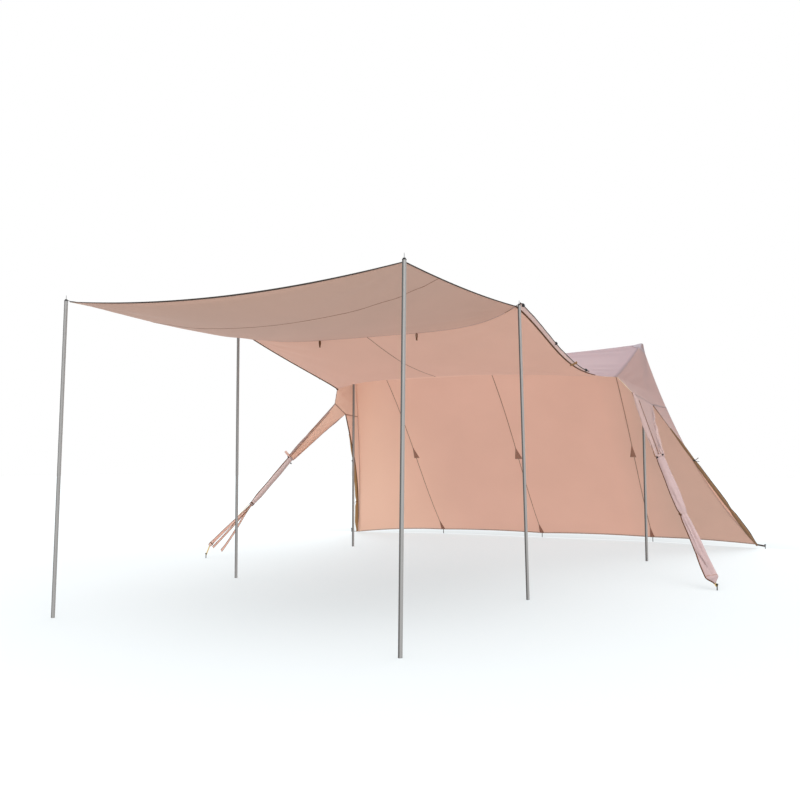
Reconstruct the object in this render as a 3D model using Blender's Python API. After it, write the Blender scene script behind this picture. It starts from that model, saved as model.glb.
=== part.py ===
"""Camping tarp shelter: a twin-peak ridge tent whose near wall is raised as an awning on four more poles."""

import math

import bpy
import numpy as np
from mathutils import Vector

# Driving dimensions, in metres. X runs along the ridge, the awning reaches to -Y and the ground is z = 0.
# Places are written for the right-hand side, measured from the point on the ground under the ridge's middle.
SIDES = {"left": -1, "right": 1}

FABRIC = 0.004              # thickness of every cloth panel
TOUCH = 0.0005              # gap kept where two pieces touch
FLAT_SEAM = 0.0003          # what each panel gives up at a seam that lies flat
BENT_SEAM = 0.0009          # at a seam where two panels meet at a slight angle
FOLD_SEAM = 0.0016          # at the ridge and the near hips
HIP_SEAM = 0.0030           # at the far hips and on the near roof at the valley, where they meet most steeply
VALLEY_SEAM = 0.0027        # on the awning at the valley

# Poles: foot, top and radius
POLES = {
    "ridge": ((2.000, 0.000), (2.000, 0.000, 2.612), 0.016),
    "mid": ((1.530, -3.290), (1.503, -3.352, 2.530), 0.014),
    "front": ((1.450, -5.630), (1.461, -5.594, 2.420), 0.014),
}
POLE_SIDES = 16
CAP_HEIGHT = 0.006
CAP_LIP = 0.001             # how far a cap stands proud of its pole
SPIKE_RADIUS = 0.003
SPIKE_LENGTH = 0.040
PEAK_CAP_RADIUS = 0.045
PEAK_CAP_HEIGHT = 0.018

# Roof
RIDGE_Z = 2.605             # the cloth at the ridge poles
RIDGE_SAG = 0.075
PEAK_HOLE = 0.0192          # the cloth stays this far from a ridge pole's axis
NEAR_ROOF_BEARING = -140    # where each panel ends on that hole's edge, in degrees from +X
NEAR_HIP_BEARING = -100
FAR_HIP_BEARING = 60
FAR_WALL_BEARING = 110
EAVE_CORNER = (1.835, -0.750, 2.145)
VALLEY_MIDDLE_Y = -1.700
VALLEY_Z = 2.140
VALLEY_POWER = 2.5
NEAR_ROOF_BELLY = 0.050
REAR_CANOPY_BELLY = 0.050

# Awning
MID_CORNER = (1.472, -3.350, 2.525)
MID_LINE_Z = 2.357
MID_LINE_POWER = 5.0
REAR_SIDE_HANDLES = ((1.580, -2.480, 2.350), (1.380, -1.390, 2.080))
FRONT_CORNER = (1.448, -5.566, 2.417)
FRONT_EDGE_CUT = 0.020
FRONT_EDGE_SAG = 0.087
SIDE_EDGE_CUT = 0.005
SIDE_EDGE_SAG = 0.022
CANOPY_BELLY = 0.120
BELLY_POWER = 0.6           # under 1, so that the bowl is deepest nearer the front edge
FLAP_RISE = 0.038
FLAP_LEAN = 0.038
FLAP_GAP = 0.0018           # from the middle of the cloth's edge to the middle of the flap's
FLAP_START = 0.25           # how far along the cloth's first row the flap begins
FLAP_ROWS = 6               # rows of the rear canopy's side that carry the flap

# Far wall and gables
WALL_FOOT = (0.000, 2.553, 0.070)
SIDE_SEAM_TOP_X = 1.600
SIDE_SEAM_FOOT = (1.690, 2.553, 0.070)
FAR_CORNER = (3.130, 2.220, 0.050)
FAR_HIP_HANDLE = (2.350, 0.910, 1.030)
NEAR_HIP_BOW = 0.015
WALL_BULGE = 0.130
WALL_BULGE_TILT = 1.6
HEM_RISE = 0.015
DOOR_APEX = (2.115, -0.030, 1.862)
DOOR_FAR_FOOT = (3.118, 2.170, 0.052)
APEX_ON_HIP = 0.25          # share of the far hip that lies above the door's apex
STRIP_TOP = (1.970, -0.580, 1.972)
GATHER = (2.333, -1.086, 1.233)
GATHER_WIDTH = 0.105
GATHER_SLANT = (0.90, 0.43, 0.09)
STRIP_BOW = (-0.030, -0.090, 0.000)

# Rolled half-doors, straps and pegs
NEAR_ROLL_TIE = (2.617, -1.555, 0.638)
NEAR_ROLL_FOOT = (2.895, -1.985, 0.105)
NEAR_ROLL_RADIUS = 0.050
FAR_ROLL_RADIUS = 0.030
FAR_ROLL_FIRST_ROW = 3
NEAR_TIED = 0.86            # radius of a roll at a tie, as a share of its full radius
FAR_TIED = 0.62
TIE_REACH = 0.12            # share of a roll's length over which a tie draws it in
NEAR_ROLL_TIES = (0.0, 0.5)
FAR_ROLL_TIES = (0.0, 0.65, 1.0)
ROLL_ROWS = 12
ROLL_SIDES = 10
STRAP_WIDTH = 0.028
PEG_RADIUS = 0.005
PEG_HEAD_RADIUS = 0.011
PEG_HEAD_HEIGHT = 0.010
PEG_HEIGHT = 0.100
PEG_SIDES = 12
WALL_PEG_GAP = 0.0018       # from the middle of the wall's cloth to a wall peg's side
NEAR_PEG = (2.938, -2.035)
FAR_PEG = (3.230, 2.165)
CORNER_PEG_HEIGHT = 0.060
CORNER_STRAP_Z = 0.036
FAR_STRAP_REACH = 0.0045    # how far beyond the wall's corner its strap starts

# Grid sizes: quads along and across each panel
CANOPY_COLUMNS = 12
CANOPY_ROWS = 8
WALL_ROWS = 12
WALL_COLUMNS = 5
GABLE_HIP_ROWS = 6
GABLE_LIP_ROWS = 2
GABLE_COLUMNS = 6
STRIP_ROWS = 6

# The box's middle is the origin in Y: the awning's feet reach furthest one way and the wall's pegs the other
WALL_PEG_Y = WALL_FOOT[1] + PEG_RADIUS + WALL_PEG_GAP
FRONT_REACH = -POLES["front"][0][1] + POLES["front"][2]
BACK_REACH = WALL_PEG_Y + PEG_HEAD_RADIUS
RIDGE_Y = (FRONT_REACH - BACK_REACH) / 2

CLOTH_COLOUR = (0.62, 0.44, 0.37)
ROLL_COLOUR = (0.60, 0.44, 0.40)
WEBBING_COLOUR = (0.30, 0.22, 0.14)
METAL_COLOUR = (0.42, 0.42, 0.41)
BLACK_COLOUR = (0.03, 0.03, 0.03)


def material(name, colour, roughness, metallic):
    """Principled material with one colour, roughness and metallic value."""
    mat = bpy.data.materials.new(name)
    mat.use_nodes = True
    shader = mat.node_tree.nodes["Principled BSDF"]
    shader.inputs["Base Color"].default_value = (*colour, 1.0)
    shader.inputs["Roughness"].default_value = roughness
    shader.inputs["Metallic"].default_value = metallic
    return mat


def add_object(name, points, faces, colour, roughness=0.9, metallic=0.0):
    """Smooth-shaded object with a material of its own, placed from the ridge's middle."""
    mesh = bpy.data.meshes.new(name)
    mesh.from_pydata(np.asarray(points).reshape(-1, 3).tolist(), [], faces)
    mesh.shade_smooth()
    mesh.set_sharp_from_angle(angle=math.radians(40))
    mesh.materials.append(material(name + "_finish", colour, roughness, metallic))
    obj = bpy.data.objects.new(name, mesh)
    obj.parent = bpy.data.objects["shelter"]
    bpy.context.scene.collection.objects.link(obj)
    return obj


def mirrored(points, side):
    """The points, with X turned over on the left-hand side."""
    return np.asarray(points, float) * (side, 1, 1)


def bezier(t, *controls):
    """Points of the Bezier curve with these control points, one for each t."""
    t = np.asarray(t, float)[:, None]
    degree = len(controls) - 1
    weights = [math.comb(degree, k) * t ** k * (1 - t) ** (degree - k) for k in range(degree + 1)]
    return sum(weight * np.array(point) for weight, point in zip(weights, controls))


def middle(a, b, offset=(0, 0, 0)):
    """The point halfway between two others, moved by the offset."""
    return (np.array(a) + np.array(b)) / 2 + np.array(offset)


def both_halves(half):
    """Grid made of a right-hand half and its mirror image, which share the middle row."""
    return np.concatenate([mirrored(half, -1)[:0:-1], half])


def stretched(front, back, left, right):
    """Grid stretched between four edges whose ends meet, the way a taut membrane spans its frame."""
    u = np.linspace(0, 1, len(front))[:, None, None]
    v = np.linspace(0, 1, len(left))[None, :, None]
    along = (1 - v) * front[:, None] + v * back[:, None]
    across = (1 - u) * left[None] + u * right[None]
    near_corners = (1 - u) * front[0] + u * front[-1]
    far_corners = (1 - u) * back[0] + u * back[-1]
    return along + across - (1 - v) * near_corners - v * far_corners


def seam_gap(points, left=0, right=0, front=0, back=0):
    """The grid with each of its four borders drawn in a little, towards the next row."""
    grid = points.copy()
    for border, inner, gap in (((0,), (1,), left), ((-1,), (-2,), right)):
        step = grid[inner] - grid[border]
        grid[border] += gap * step / np.linalg.norm(step, axis=-1, keepdims=True)
    for border, inner, gap in ((0, 1, front), (-1, -2, back)):
        step = grid[:, inner] - grid[:, border]
        grid[:, border] += gap * step / np.linalg.norm(step, axis=-1, keepdims=True)
    return grid


def add_panel(name, points, side=1):
    """Cloth panel: a grid of triangles that a Solidify modifier makes FABRIC thick, half to each side."""
    rows, columns = points.shape[:2]
    index = np.arange(rows * columns).reshape(rows, columns)
    a, b = index[:-1, :-1].ravel(), index[1:, :-1].ravel()
    c, d = index[1:, 1:].ravel(), index[:-1, 1:].ravel()
    faces = np.concatenate([np.stack([a, b, c], 1), np.stack([a, c, d], 1)]).tolist()
    obj = add_object(name, mirrored(points, side), faces, CLOTH_COLOUR)
    thickness = obj.modifiers.new("thickness", "SOLIDIFY")
    thickness.thickness = FABRIC
    thickness.offset = 0.0
    thickness.use_even_offset = True
    return obj


def add_lofted(name, rings, colour, roughness=0.9, metallic=0.0):
    """Closed solid through a list of rings of points, capped by a flat face at each end."""
    sides = len(rings[0])
    faces = []
    for row in range(len(rings) - 1):
        for k in range(sides):
            a, b = row * sides + k, row * sides + (k + 1) % sides
            faces.append((a, b, b + sides, a + sides))
    faces.append(tuple(reversed(range(sides))))
    faces.append(tuple(range((len(rings) - 1) * sides, len(rings) * sides)))
    return add_object(name, np.array(rings), faces, colour, roughness, metallic)


def ring(centre, radius, sides):
    """Level ring of points about a centre, anticlockwise from above."""
    angle = np.arange(sides) * 2 * math.pi / sides
    flat = np.stack([np.cos(angle), np.sin(angle), 0 * angle], axis=1)
    return np.array(centre) + radius * flat


def add_pole(name, foot, top, radius):
    """Round metal pole, leaning from its level foot to its level top."""
    rings = [ring((*foot, 0.0), radius, POLE_SIDES), ring(top, radius, POLE_SIDES)]
    add_lofted(name, rings, METAL_COLOUR, 0.4, 0.9)


def add_spiked_cap(name, top, radius):
    """Black cap on a pole's end, with the thin spike that the cloth's eyelet slips over."""
    x, y, z = top
    base = z + TOUCH
    profile = [
        (base, radius + CAP_LIP),
        (base + CAP_HEIGHT * 0.7, radius + CAP_LIP),
        (base + CAP_HEIGHT, radius * 0.5),
        (base + CAP_HEIGHT + TOUCH, SPIKE_RADIUS),
        (base + CAP_HEIGHT + SPIKE_LENGTH * 0.8, SPIKE_RADIUS),
        (base + CAP_HEIGHT + SPIKE_LENGTH, SPIKE_RADIUS * 0.4),
    ]
    add_lofted(name, [ring((x, y, h), r, POLE_SIDES) for h, r in profile], BLACK_COLOUR, 0.5)


def add_peak_cap(name, top):
    """Low reinforced cone that covers the hole in the cloth over a ridge pole."""
    x, y, z = top
    base = z + TOUCH
    profile = [
        (base, PEAK_CAP_RADIUS),
        (base + PEAK_CAP_HEIGHT * 0.2, PEAK_CAP_RADIUS),
        (base + PEAK_CAP_HEIGHT * 0.8, PEAK_CAP_RADIUS * 0.35),
        (base + PEAK_CAP_HEIGHT, PEAK_CAP_RADIUS * 0.15),
    ]
    add_lofted(name, [ring((x, y, h), r, POLE_SIDES) for h, r in profile], CLOTH_COLOUR)


def add_poles(label, side):
    """The three poles of one side with what tops them."""
    for name, (foot, top, radius) in POLES.items():
        foot = (foot[0] * side, foot[1])
        top = (top[0] * side, top[1], top[2])
        add_pole(f"{name}_pole_{label}", foot, top, radius)
        if name == "ridge":
            add_peak_cap(f"ridge_peak_cap_{label}", top)
        else:
            add_spiked_cap(f"{name}_pole_tip_{label}", top, radius)


def beside_peak(degrees):
    """Point on the cloth's edge around the ridge pole, at this bearing from +X."""
    angle = math.radians(degrees)
    x, y = POLES["ridge"][0]
    return (x + PEAK_HOLE * math.cos(angle), y + PEAK_HOLE * math.sin(angle), RIDGE_Z)


def front_edge(s):
    """The awning's front edge: cut and hung as a shallow arc between its corners."""
    x, y, z = FRONT_CORNER
    arc = 1 - s ** 2
    return np.stack([x * s, y + FRONT_EDGE_CUT * arc, z - FRONT_EDGE_SAG * arc], axis=1)


def mid_line(s):
    """The seam between the mid poles: low across the middle and drawn up sharply at each pole."""
    x, y, z = MID_CORNER
    height = MID_LINE_Z + (z - MID_LINE_Z) * np.abs(s) ** MID_LINE_POWER
    return np.stack([x * s, y + 0 * s, height], axis=1)


def valley_line(s):
    """The low fold where the near roof turns up into the awning."""
    x, y, z = EAVE_CORNER
    reach = np.abs(s) ** VALLEY_POWER
    depth = VALLEY_MIDDLE_Y + (y - VALLEY_MIDDLE_Y) * reach
    return np.stack([x * s, depth, VALLEY_Z + (z - VALLEY_Z) * reach], axis=1)


def ridge_line(s, end_x, end_y=0.0):
    """The ridge, sagging between its poles; its last points may stand aside from the pole."""
    sag = RIDGE_SAG * (1 - s ** 2)
    aside = np.where(np.abs(s) > 0.999, end_y, 0.0)
    return np.stack([end_x * s, aside, RIDGE_Z - sag], axis=1)


def front_canopy_side(t):
    """The awning's side edge between the front and the mid pole, on the right."""
    cut = (-2 * SIDE_EDGE_CUT, 0, -2 * SIDE_EDGE_SAG)
    return bezier(t, FRONT_CORNER, middle(FRONT_CORNER, MID_CORNER, cut), MID_CORNER)


def rear_canopy_side(t):
    """The awning's side edge from the mid pole down to the eave corner, on the right."""
    return bezier(t, MID_CORNER, *REAR_SIDE_HANDLES, EAVE_CORNER)


def near_hip(t, start):
    """The seam from beside the ridge pole down to the eave corner, on the right."""
    return bezier(t, start, middle(start, EAVE_CORNER, (NEAR_HIP_BOW, 0, -NEAR_HIP_BOW)), EAVE_CORNER)


def far_hip(t):
    """The seam from beside the ridge pole down to the far corner, drawn inwards by its tension.

    Both panels that meet there follow the same short straight steps between its stations.
    """
    stations = np.linspace(0, 1, WALL_ROWS + 1)
    points = bezier(stations, beside_peak(FAR_HIP_BEARING), FAR_HIP_HANDLE, FAR_CORNER)
    return np.stack([np.interp(t, stations, points[:, axis]) for axis in range(3)], axis=1)


def add_front_canopy():
    """The awning's front bay, which hangs in a shallow bowl."""
    s = np.linspace(-1, 1, CANOPY_COLUMNS + 1)
    v = np.linspace(0, 1, CANOPY_ROWS + 1)
    side = front_canopy_side(v)
    cloth = stretched(front_edge(s), mid_line(s), mirrored(side, -1), side)
    cloth[..., 2] -= CANOPY_BELLY * (1 - s[:, None] ** 2) * np.sin(math.pi * v ** BELLY_POWER)
    add_panel("front_canopy", seam_gap(cloth, back=FOLD_SEAM))


def add_rear_canopy():
    """The raised near wall, from the mid poles down to the valley."""
    s = np.linspace(0, 1, CANOPY_COLUMNS // 2 + 1)
    v = np.linspace(0, 1, CANOPY_ROWS + 1)
    middle_seam = bezier(v, mid_line(s)[0], valley_line(s)[0])
    cloth = stretched(mid_line(s), valley_line(s), middle_seam, rear_canopy_side(v))
    cloth[..., 2] -= REAR_CANOPY_BELLY * 4 * v * (1 - v) * (1 - s[:, None] ** 2)
    add_panel("rear_canopy", seam_gap(both_halves(cloth), front=FOLD_SEAM, back=VALLEY_SEAM))


def add_near_roof():
    """The short roof slope between the valley and the ridge, in one cloth."""
    s = np.linspace(-1, 1, CANOPY_COLUMNS + 1)
    v = np.linspace(0, 1, GABLE_HIP_ROWS + 1)
    peak = beside_peak(NEAR_ROOF_BEARING)
    hip = near_hip(v, peak)[::-1]
    ridge = ridge_line(s, peak[0], peak[1])
    cloth = stretched(valley_line(s), ridge, mirrored(hip, -1), hip)
    cloth[..., 2] -= NEAR_ROOF_BELLY * 4 * v * (1 - v) * (1 - s[:, None] ** 2)
    grid = seam_gap(cloth, left=FOLD_SEAM, right=FOLD_SEAM, front=HIP_SEAM, back=FOLD_SEAM)
    add_panel("near_roof_slope", grid)


def wall_seam(t, top, foot):
    """A seam of the far wall: a straight slope with a slight belly high up and a slight hollow low down."""
    bulge = WALL_BULGE * np.sin(math.pi * t) * (1 - WALL_BULGE_TILT * t)
    out = np.array((0, math.sqrt(0.5), math.sqrt(0.5)))
    return bezier(t, top, foot) + bulge[:, None] * out


def hem(u, start, end):
    """The wall's bottom edge between two stakes, lifted a little in the middle."""
    return bezier(u, start, middle(start, end, (0, 0, 2 * HEM_RISE)), end)


def add_far_wall():
    """The far wall: a wide middle panel between two seams, and a panel beside each of them."""
    t = np.linspace(0, 1, WALL_ROWS + 1)
    u = np.linspace(0, 1, WALL_COLUMNS + 1)
    ridge_x = POLES["ridge"][0][0] - PEAK_HOLE
    inner_ridge = ridge_line(u * SIDE_SEAM_TOP_X / ridge_x, ridge_x)
    outer_ridge = ridge_line(1 + (u - 1) * (1 - SIDE_SEAM_TOP_X / ridge_x), ridge_x)
    outer_ridge[-1] = beside_peak(FAR_WALL_BEARING)
    middle_seam = wall_seam(t, inner_ridge[0], WALL_FOOT)
    side_seam = wall_seam(t, inner_ridge[-1], SIDE_SEAM_FOOT)
    hip = far_hip(t)
    hip[0] = outer_ridge[-1]
    inner = stretched(inner_ridge, hem(u, WALL_FOOT, SIDE_SEAM_FOOT), middle_seam, side_seam)
    outer = stretched(outer_ridge, hem(u, SIDE_SEAM_FOOT, FAR_CORNER), side_seam, hip)
    wide = seam_gap(both_halves(inner), left=BENT_SEAM, right=BENT_SEAM, front=FOLD_SEAM)
    outer = seam_gap(outer, left=BENT_SEAM, right=HIP_SEAM, front=FOLD_SEAM)
    add_panel("far_wall_middle", wide)
    for label, side in SIDES.items():
        add_panel(f"far_wall_side_{label}", outer, side)


def add_gable(label, side):
    """The gable over the door: from the ridge pole to the eave corner and down to the door's apex."""
    v = np.linspace(0, 1, GABLE_HIP_ROWS + 1)
    lip = np.linspace(0, 1, GABLE_LIP_ROWS + 1)[1:]
    seam = near_hip(v, beside_peak(NEAR_HIP_BEARING))
    near = np.concatenate([seam, bezier(lip, EAVE_CORNER, STRIP_TOP)])
    far = far_hip(np.linspace(0, APEX_ON_HIP, len(near)))
    half = GABLE_COLUMNS // 2
    u = np.linspace(0, 1, half + 1)
    bottom = np.concatenate([bezier(u, STRIP_TOP, DOOR_APEX), bezier(u, DOOR_APEX, far[-1])[1:]])
    bearings = np.linspace(NEAR_HIP_BEARING, FAR_HIP_BEARING, GABLE_COLUMNS + 1)
    top = np.array([beside_peak(bearing) for bearing in bearings])
    head = stretched(top, bottom, near, far)
    add_panel(f"gable_head_{label}", seam_gap(head, left=FOLD_SEAM, right=HIP_SEAM, back=FLAT_SEAM), side)

    t = np.linspace(0, 1, round(WALL_ROWS * (1 - APEX_ON_HIP)) + 1)
    door_edge = bezier(t, DOOR_APEX, DOOR_FAR_FOOT)
    hip = far_hip(APEX_ON_HIP + (1 - APEX_ON_HIP) * t)
    foot = bezier(u, DOOR_FAR_FOOT, FAR_CORNER)
    border = stretched(bezier(u, DOOR_APEX, far[-1]), foot, door_edge, hip)
    border = seam_gap(border, right=HIP_SEAM, front=FLAT_SEAM)
    add_panel(f"gable_far_border_{label}", border, side)
    return border


def unit(vector):
    """The vector at length one."""
    return vector / np.linalg.norm(vector)


def square_to(vector, along):
    """The part of the vector that stands square to the direction along, at length one."""
    return unit(vector - along * np.dot(vector, along))


def near_roll_path(t):
    """The near roll's middle line: from its gather through the tie halfway to its foot."""
    halfway = 2 * np.array(NEAR_ROLL_TIE) - middle(GATHER, NEAR_ROLL_FOOT)
    return bezier(t, GATHER, halfway, NEAR_ROLL_FOOT)


def gather_across():
    """Direction of the gather's edge, square to the roll that starts there."""
    start = near_roll_path(np.array([0, 1 / ROLL_ROWS]))
    return square_to(np.array(GATHER_SLANT), unit(start[1] - start[0]))


def add_near_strip(label, side):
    """The open upper part of the near corner strip, drawn together where its roll begins."""
    half = GABLE_COLUMNS // 2
    u = np.linspace(0, 1, half + 1)
    t = np.linspace(0, 1, STRIP_ROWS + 1)
    near_end = GATHER - gather_across() * GATHER_WIDTH / 2
    far_end = GATHER + gather_across() * GATHER_WIDTH / 2
    outer = bezier(t, STRIP_TOP, near_end)
    inner = bezier(t, DOOR_APEX, middle(DOOR_APEX, far_end, STRIP_BOW), far_end)
    cloth = stretched(bezier(u, STRIP_TOP, DOOR_APEX), bezier(u, near_end, far_end), outer, inner)
    add_panel(f"near_corner_strip_{label}", seam_gap(cloth, front=BENT_SEAM), side)


def roll_rings(path, radii, towards):
    """Rings about a path; each ring's first point lies towards the given direction."""
    rings = []
    for k, centre in enumerate(path):
        along = unit(path[min(k + 1, len(path) - 1)] - path[max(k - 1, 0)])
        first = square_to(towards, along)
        second = np.cross(along, first)
        angle = np.arange(ROLL_SIDES)[:, None] * 2 * math.pi / ROLL_SIDES
        rings.append(centre + radii[k] * (np.cos(angle) * first + np.sin(angle) * second))
    return rings


def tied_radii(t, radius, tied, ties):
    """The radius along a roll: full between its ties and drawn in to its tied share at each of them."""
    nearest = np.min([np.abs(t - tie) for tie in ties], axis=0)
    return radius * (tied + (1 - tied) * np.minimum(1, nearest / TIE_REACH))


def add_roll(name, rings, side):
    """Rolled half-door: a soft closed tube."""
    rings = [mirrored(r, side) for r in rings]
    if side < 0:
        rings = [r[::-1] for r in rings]
    add_lofted(name, rings, ROLL_COLOUR)


def add_near_roll(label, side):
    """The near half-door, rolled round the corner strip from its gather down to the stake."""
    t = np.linspace(0, 1, ROLL_ROWS + 1)
    path = near_roll_path(t)
    path[0] += unit(path[1] - path[0]) * TOUCH
    radii = tied_radii(t, NEAR_ROLL_RADIUS, NEAR_TIED, NEAR_ROLL_TIES)
    add_roll(f"near_door_roll_{label}", roll_rings(path, radii, gather_across()), side)


def add_far_roll(label, side, border):
    """The far half-door, rolled against the free edge of the gable's far border."""
    edge, inner = border[0, FAR_ROLL_FIRST_ROW:], border[1, FAR_ROLL_FIRST_ROW:]
    t = np.linspace(0, 1, len(edge))
    radii = tied_radii(t, FAR_ROLL_RADIUS, FAR_TIED, FAR_ROLL_TIES)
    inward = square_to(np.mean(inner - edge, axis=0), unit(edge[-1] - edge[0]))
    path = edge - inward * (radii + FABRIC / 4 + TOUCH)[:, None]
    add_roll(f"far_door_roll_{label}", roll_rings(path, radii, inward), side)


def add_flap(label, side):
    """Narrow flap that stands up and outwards from the raised wall's side edge, where its door is toggled on."""
    stations = rear_canopy_side(np.linspace(0, 1, CANOPY_ROWS + 1))[:FLAP_ROWS + 1]
    stations[0] += (stations[1] - stations[0]) * FLAP_START
    along = np.gradient(stations, axis=0)
    out = np.cross(along, (0, 0, 1))
    out /= np.linalg.norm(out, axis=1, keepdims=True)
    foot = stations + out * FLAP_GAP
    free_edge = foot + out * FLAP_LEAN + np.array((0, 0, FLAP_RISE))
    add_panel(f"side_flap_{label}", np.stack([foot, free_edge], axis=1), side)


def add_plate(name, start, end, width, thickness, side):
    """Flat webbing strap between two points, level across, with an upright face at each end."""
    start, end = mirrored(start, side), mirrored(end, side)
    up = np.array((0, 0, 1))
    across = unit(np.cross(up, end - start))
    corners = [(-1, -1), (1, -1), (1, 1), (-1, 1)]
    section = np.array([across * a * width / 2 + up * b * thickness / 2 for a, b in corners])
    add_lofted(name, [start + section, end + section], WEBBING_COLOUR)


def add_corner_strap(name, pole, corner, side):
    """Strap from a pole's side, just under its cap, to the corner of the cloth."""
    foot, top, radius = POLES[pole]
    corner = np.array(corner)
    share = corner[2] / top[2]
    axis = np.array((*foot, 0)) * (1 - share) + np.array(top) * share
    away = unit((corner - axis) * (1, 1, 0))
    start = axis + away * (radius + TOUCH)
    end = corner - away * 2 * TOUCH
    add_plate(name, start, end, STRAP_WIDTH, FABRIC, side)


def add_peg(name, x, y, height):
    """Round ground peg with a flat head, cut off at ground level."""
    neck = height - PEG_HEAD_HEIGHT
    profile = [
        (0.0, PEG_RADIUS),
        (neck, PEG_RADIUS),
        (neck + TOUCH, PEG_HEAD_RADIUS),
        (height, PEG_HEAD_RADIUS),
    ]
    add_lofted(name, [ring((x, y, h), r, PEG_SIDES) for h, r in profile], BLACK_COLOUR, 0.5, 0.5)


def add_corner_stake(name, corner, peg, reach, side):
    """A corner's peg and the strap that runs to it, from this far beyond the cloth's corner."""
    end = np.array((*peg, CORNER_STRAP_Z))
    away = unit((end - np.array(corner)) * (1, 1, 0))
    strap_end = end - away * (PEG_RADIUS + TOUCH)
    strap_start = np.array(corner) + unit(strap_end - np.array(corner)) * reach
    add_plate(f"{name}_strap", strap_start, strap_end, PEG_HEAD_RADIUS, FABRIC, side)
    add_peg(f"{name}_peg", peg[0] * side, peg[1], CORNER_PEG_HEIGHT)


def build():
    """The whole shelter."""
    for obj in list(bpy.data.objects):
        bpy.data.objects.remove(obj, do_unlink=True)
    shelter = bpy.data.objects.new("shelter", None)
    shelter.location = Vector((0, RIDGE_Y, 0))
    bpy.context.scene.collection.objects.link(shelter)

    add_front_canopy()
    add_rear_canopy()
    add_near_roof()
    add_far_wall()
    add_peg("wall_peg_middle", 0.0, WALL_PEG_Y, PEG_HEIGHT)
    for label, side in SIDES.items():
        add_poles(label, side)
        add_flap(label, side)
        border = add_gable(label, side)
        add_near_strip(label, side)
        add_near_roll(label, side)
        add_far_roll(label, side, border)
        add_corner_strap(f"front_corner_strap_{label}", "front", FRONT_CORNER, side)
        add_corner_strap(f"mid_corner_strap_{label}", "mid", MID_CORNER, side)
        add_peg(f"wall_peg_{label}", SIDE_SEAM_FOOT[0] * side, WALL_PEG_Y, PEG_HEIGHT)
        add_corner_stake(f"near_stake_{label}", NEAR_ROLL_FOOT, NEAR_PEG, FABRIC / 2 + TOUCH, side)
        add_corner_stake(f"far_stake_{label}", FAR_CORNER, FAR_PEG, FAR_STRAP_REACH, side)
    bpy.context.view_layer.update()


build()
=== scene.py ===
# %% [markdown]
# # A camping tarp shelter in cloth, metal and webbing
#
# The real object is one big sewn tarp on six upright poles. Two ridge poles carry it, a long wall slopes
# to the ground at the back, and the front wall is raised on four more poles as an awning. The packed
# model gives the poles, the pegs and plain solids for the cloth. This script dresses it: every cloth
# solid is replaced by a thin sheet worked out with numpy, and the poles and pegs get finishes.

import math

import bpy
import numpy as np
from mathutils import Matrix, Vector
from mathutils.bvhtree import BVHTree


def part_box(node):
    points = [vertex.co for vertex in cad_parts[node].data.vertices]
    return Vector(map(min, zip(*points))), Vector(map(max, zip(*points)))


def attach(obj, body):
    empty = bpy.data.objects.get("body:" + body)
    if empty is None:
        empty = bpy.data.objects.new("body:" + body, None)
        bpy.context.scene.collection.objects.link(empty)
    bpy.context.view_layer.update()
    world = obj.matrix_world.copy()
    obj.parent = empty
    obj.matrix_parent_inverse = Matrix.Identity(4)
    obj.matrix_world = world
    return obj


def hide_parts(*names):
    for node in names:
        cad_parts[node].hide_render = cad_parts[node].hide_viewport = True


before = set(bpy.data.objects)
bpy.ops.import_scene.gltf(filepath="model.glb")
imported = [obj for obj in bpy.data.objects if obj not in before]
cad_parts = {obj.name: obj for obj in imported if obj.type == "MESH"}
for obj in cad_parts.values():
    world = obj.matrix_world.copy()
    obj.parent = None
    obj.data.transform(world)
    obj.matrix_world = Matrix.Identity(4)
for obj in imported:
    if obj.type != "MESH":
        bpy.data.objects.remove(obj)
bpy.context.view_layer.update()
pole_low, pole_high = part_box("ridge_pole_right")
ORIGIN = np.array((0.0, (pole_low.y + pole_high.y) / 2, 0.0))
SIDES = {"left": -1, "right": 1}

# %% [markdown]
# ## The shelter's driving sizes
#
# Places are written for the right-hand half, in metres from the point on the ground under the ridge's
# middle. X runs along the ridge and the awning reaches to -Y. They are the sizes that the frame was built
# from, because the cloth has to hang where its solids are.

# %% Driving sizes
RIDGE_POLE = np.array((2.000, 0.000))
RIDGE_Z = 2.605
RIDGE_SAG = 0.075
PEAK_HOLE = 0.0192
NEAR_BEARING = -120
FAR_BEARING = 85

EAVE_CORNER = (1.835, -0.750, 2.145)
VALLEY_MIDDLE_Y = -1.700
VALLEY_Z = 2.140
VALLEY_POWER = 2.5
NEAR_ROOF_BELLY = 0.050
REAR_CANOPY_BELLY = 0.050

MID_TOP = (1.503, -3.352, 2.530)
MID_CORNER = (1.472, -3.350, 2.525)
MID_LINE_Z = 2.357
MID_LINE_POWER = 5.0
REAR_SIDE_HANDLES = ((1.580, -2.480, 2.350), (1.380, -1.390, 2.080))
FRONT_TOP = (1.461, -5.594, 2.420)
FRONT_CORNER = (1.448, -5.566, 2.417)
FRONT_EDGE_CUT = 0.020
FRONT_EDGE_SAG = 0.087
SIDE_EDGE_CUT = 0.005
SIDE_EDGE_SAG = 0.022
CANOPY_BELLY = 0.120
BELLY_POWER = 0.6

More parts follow.
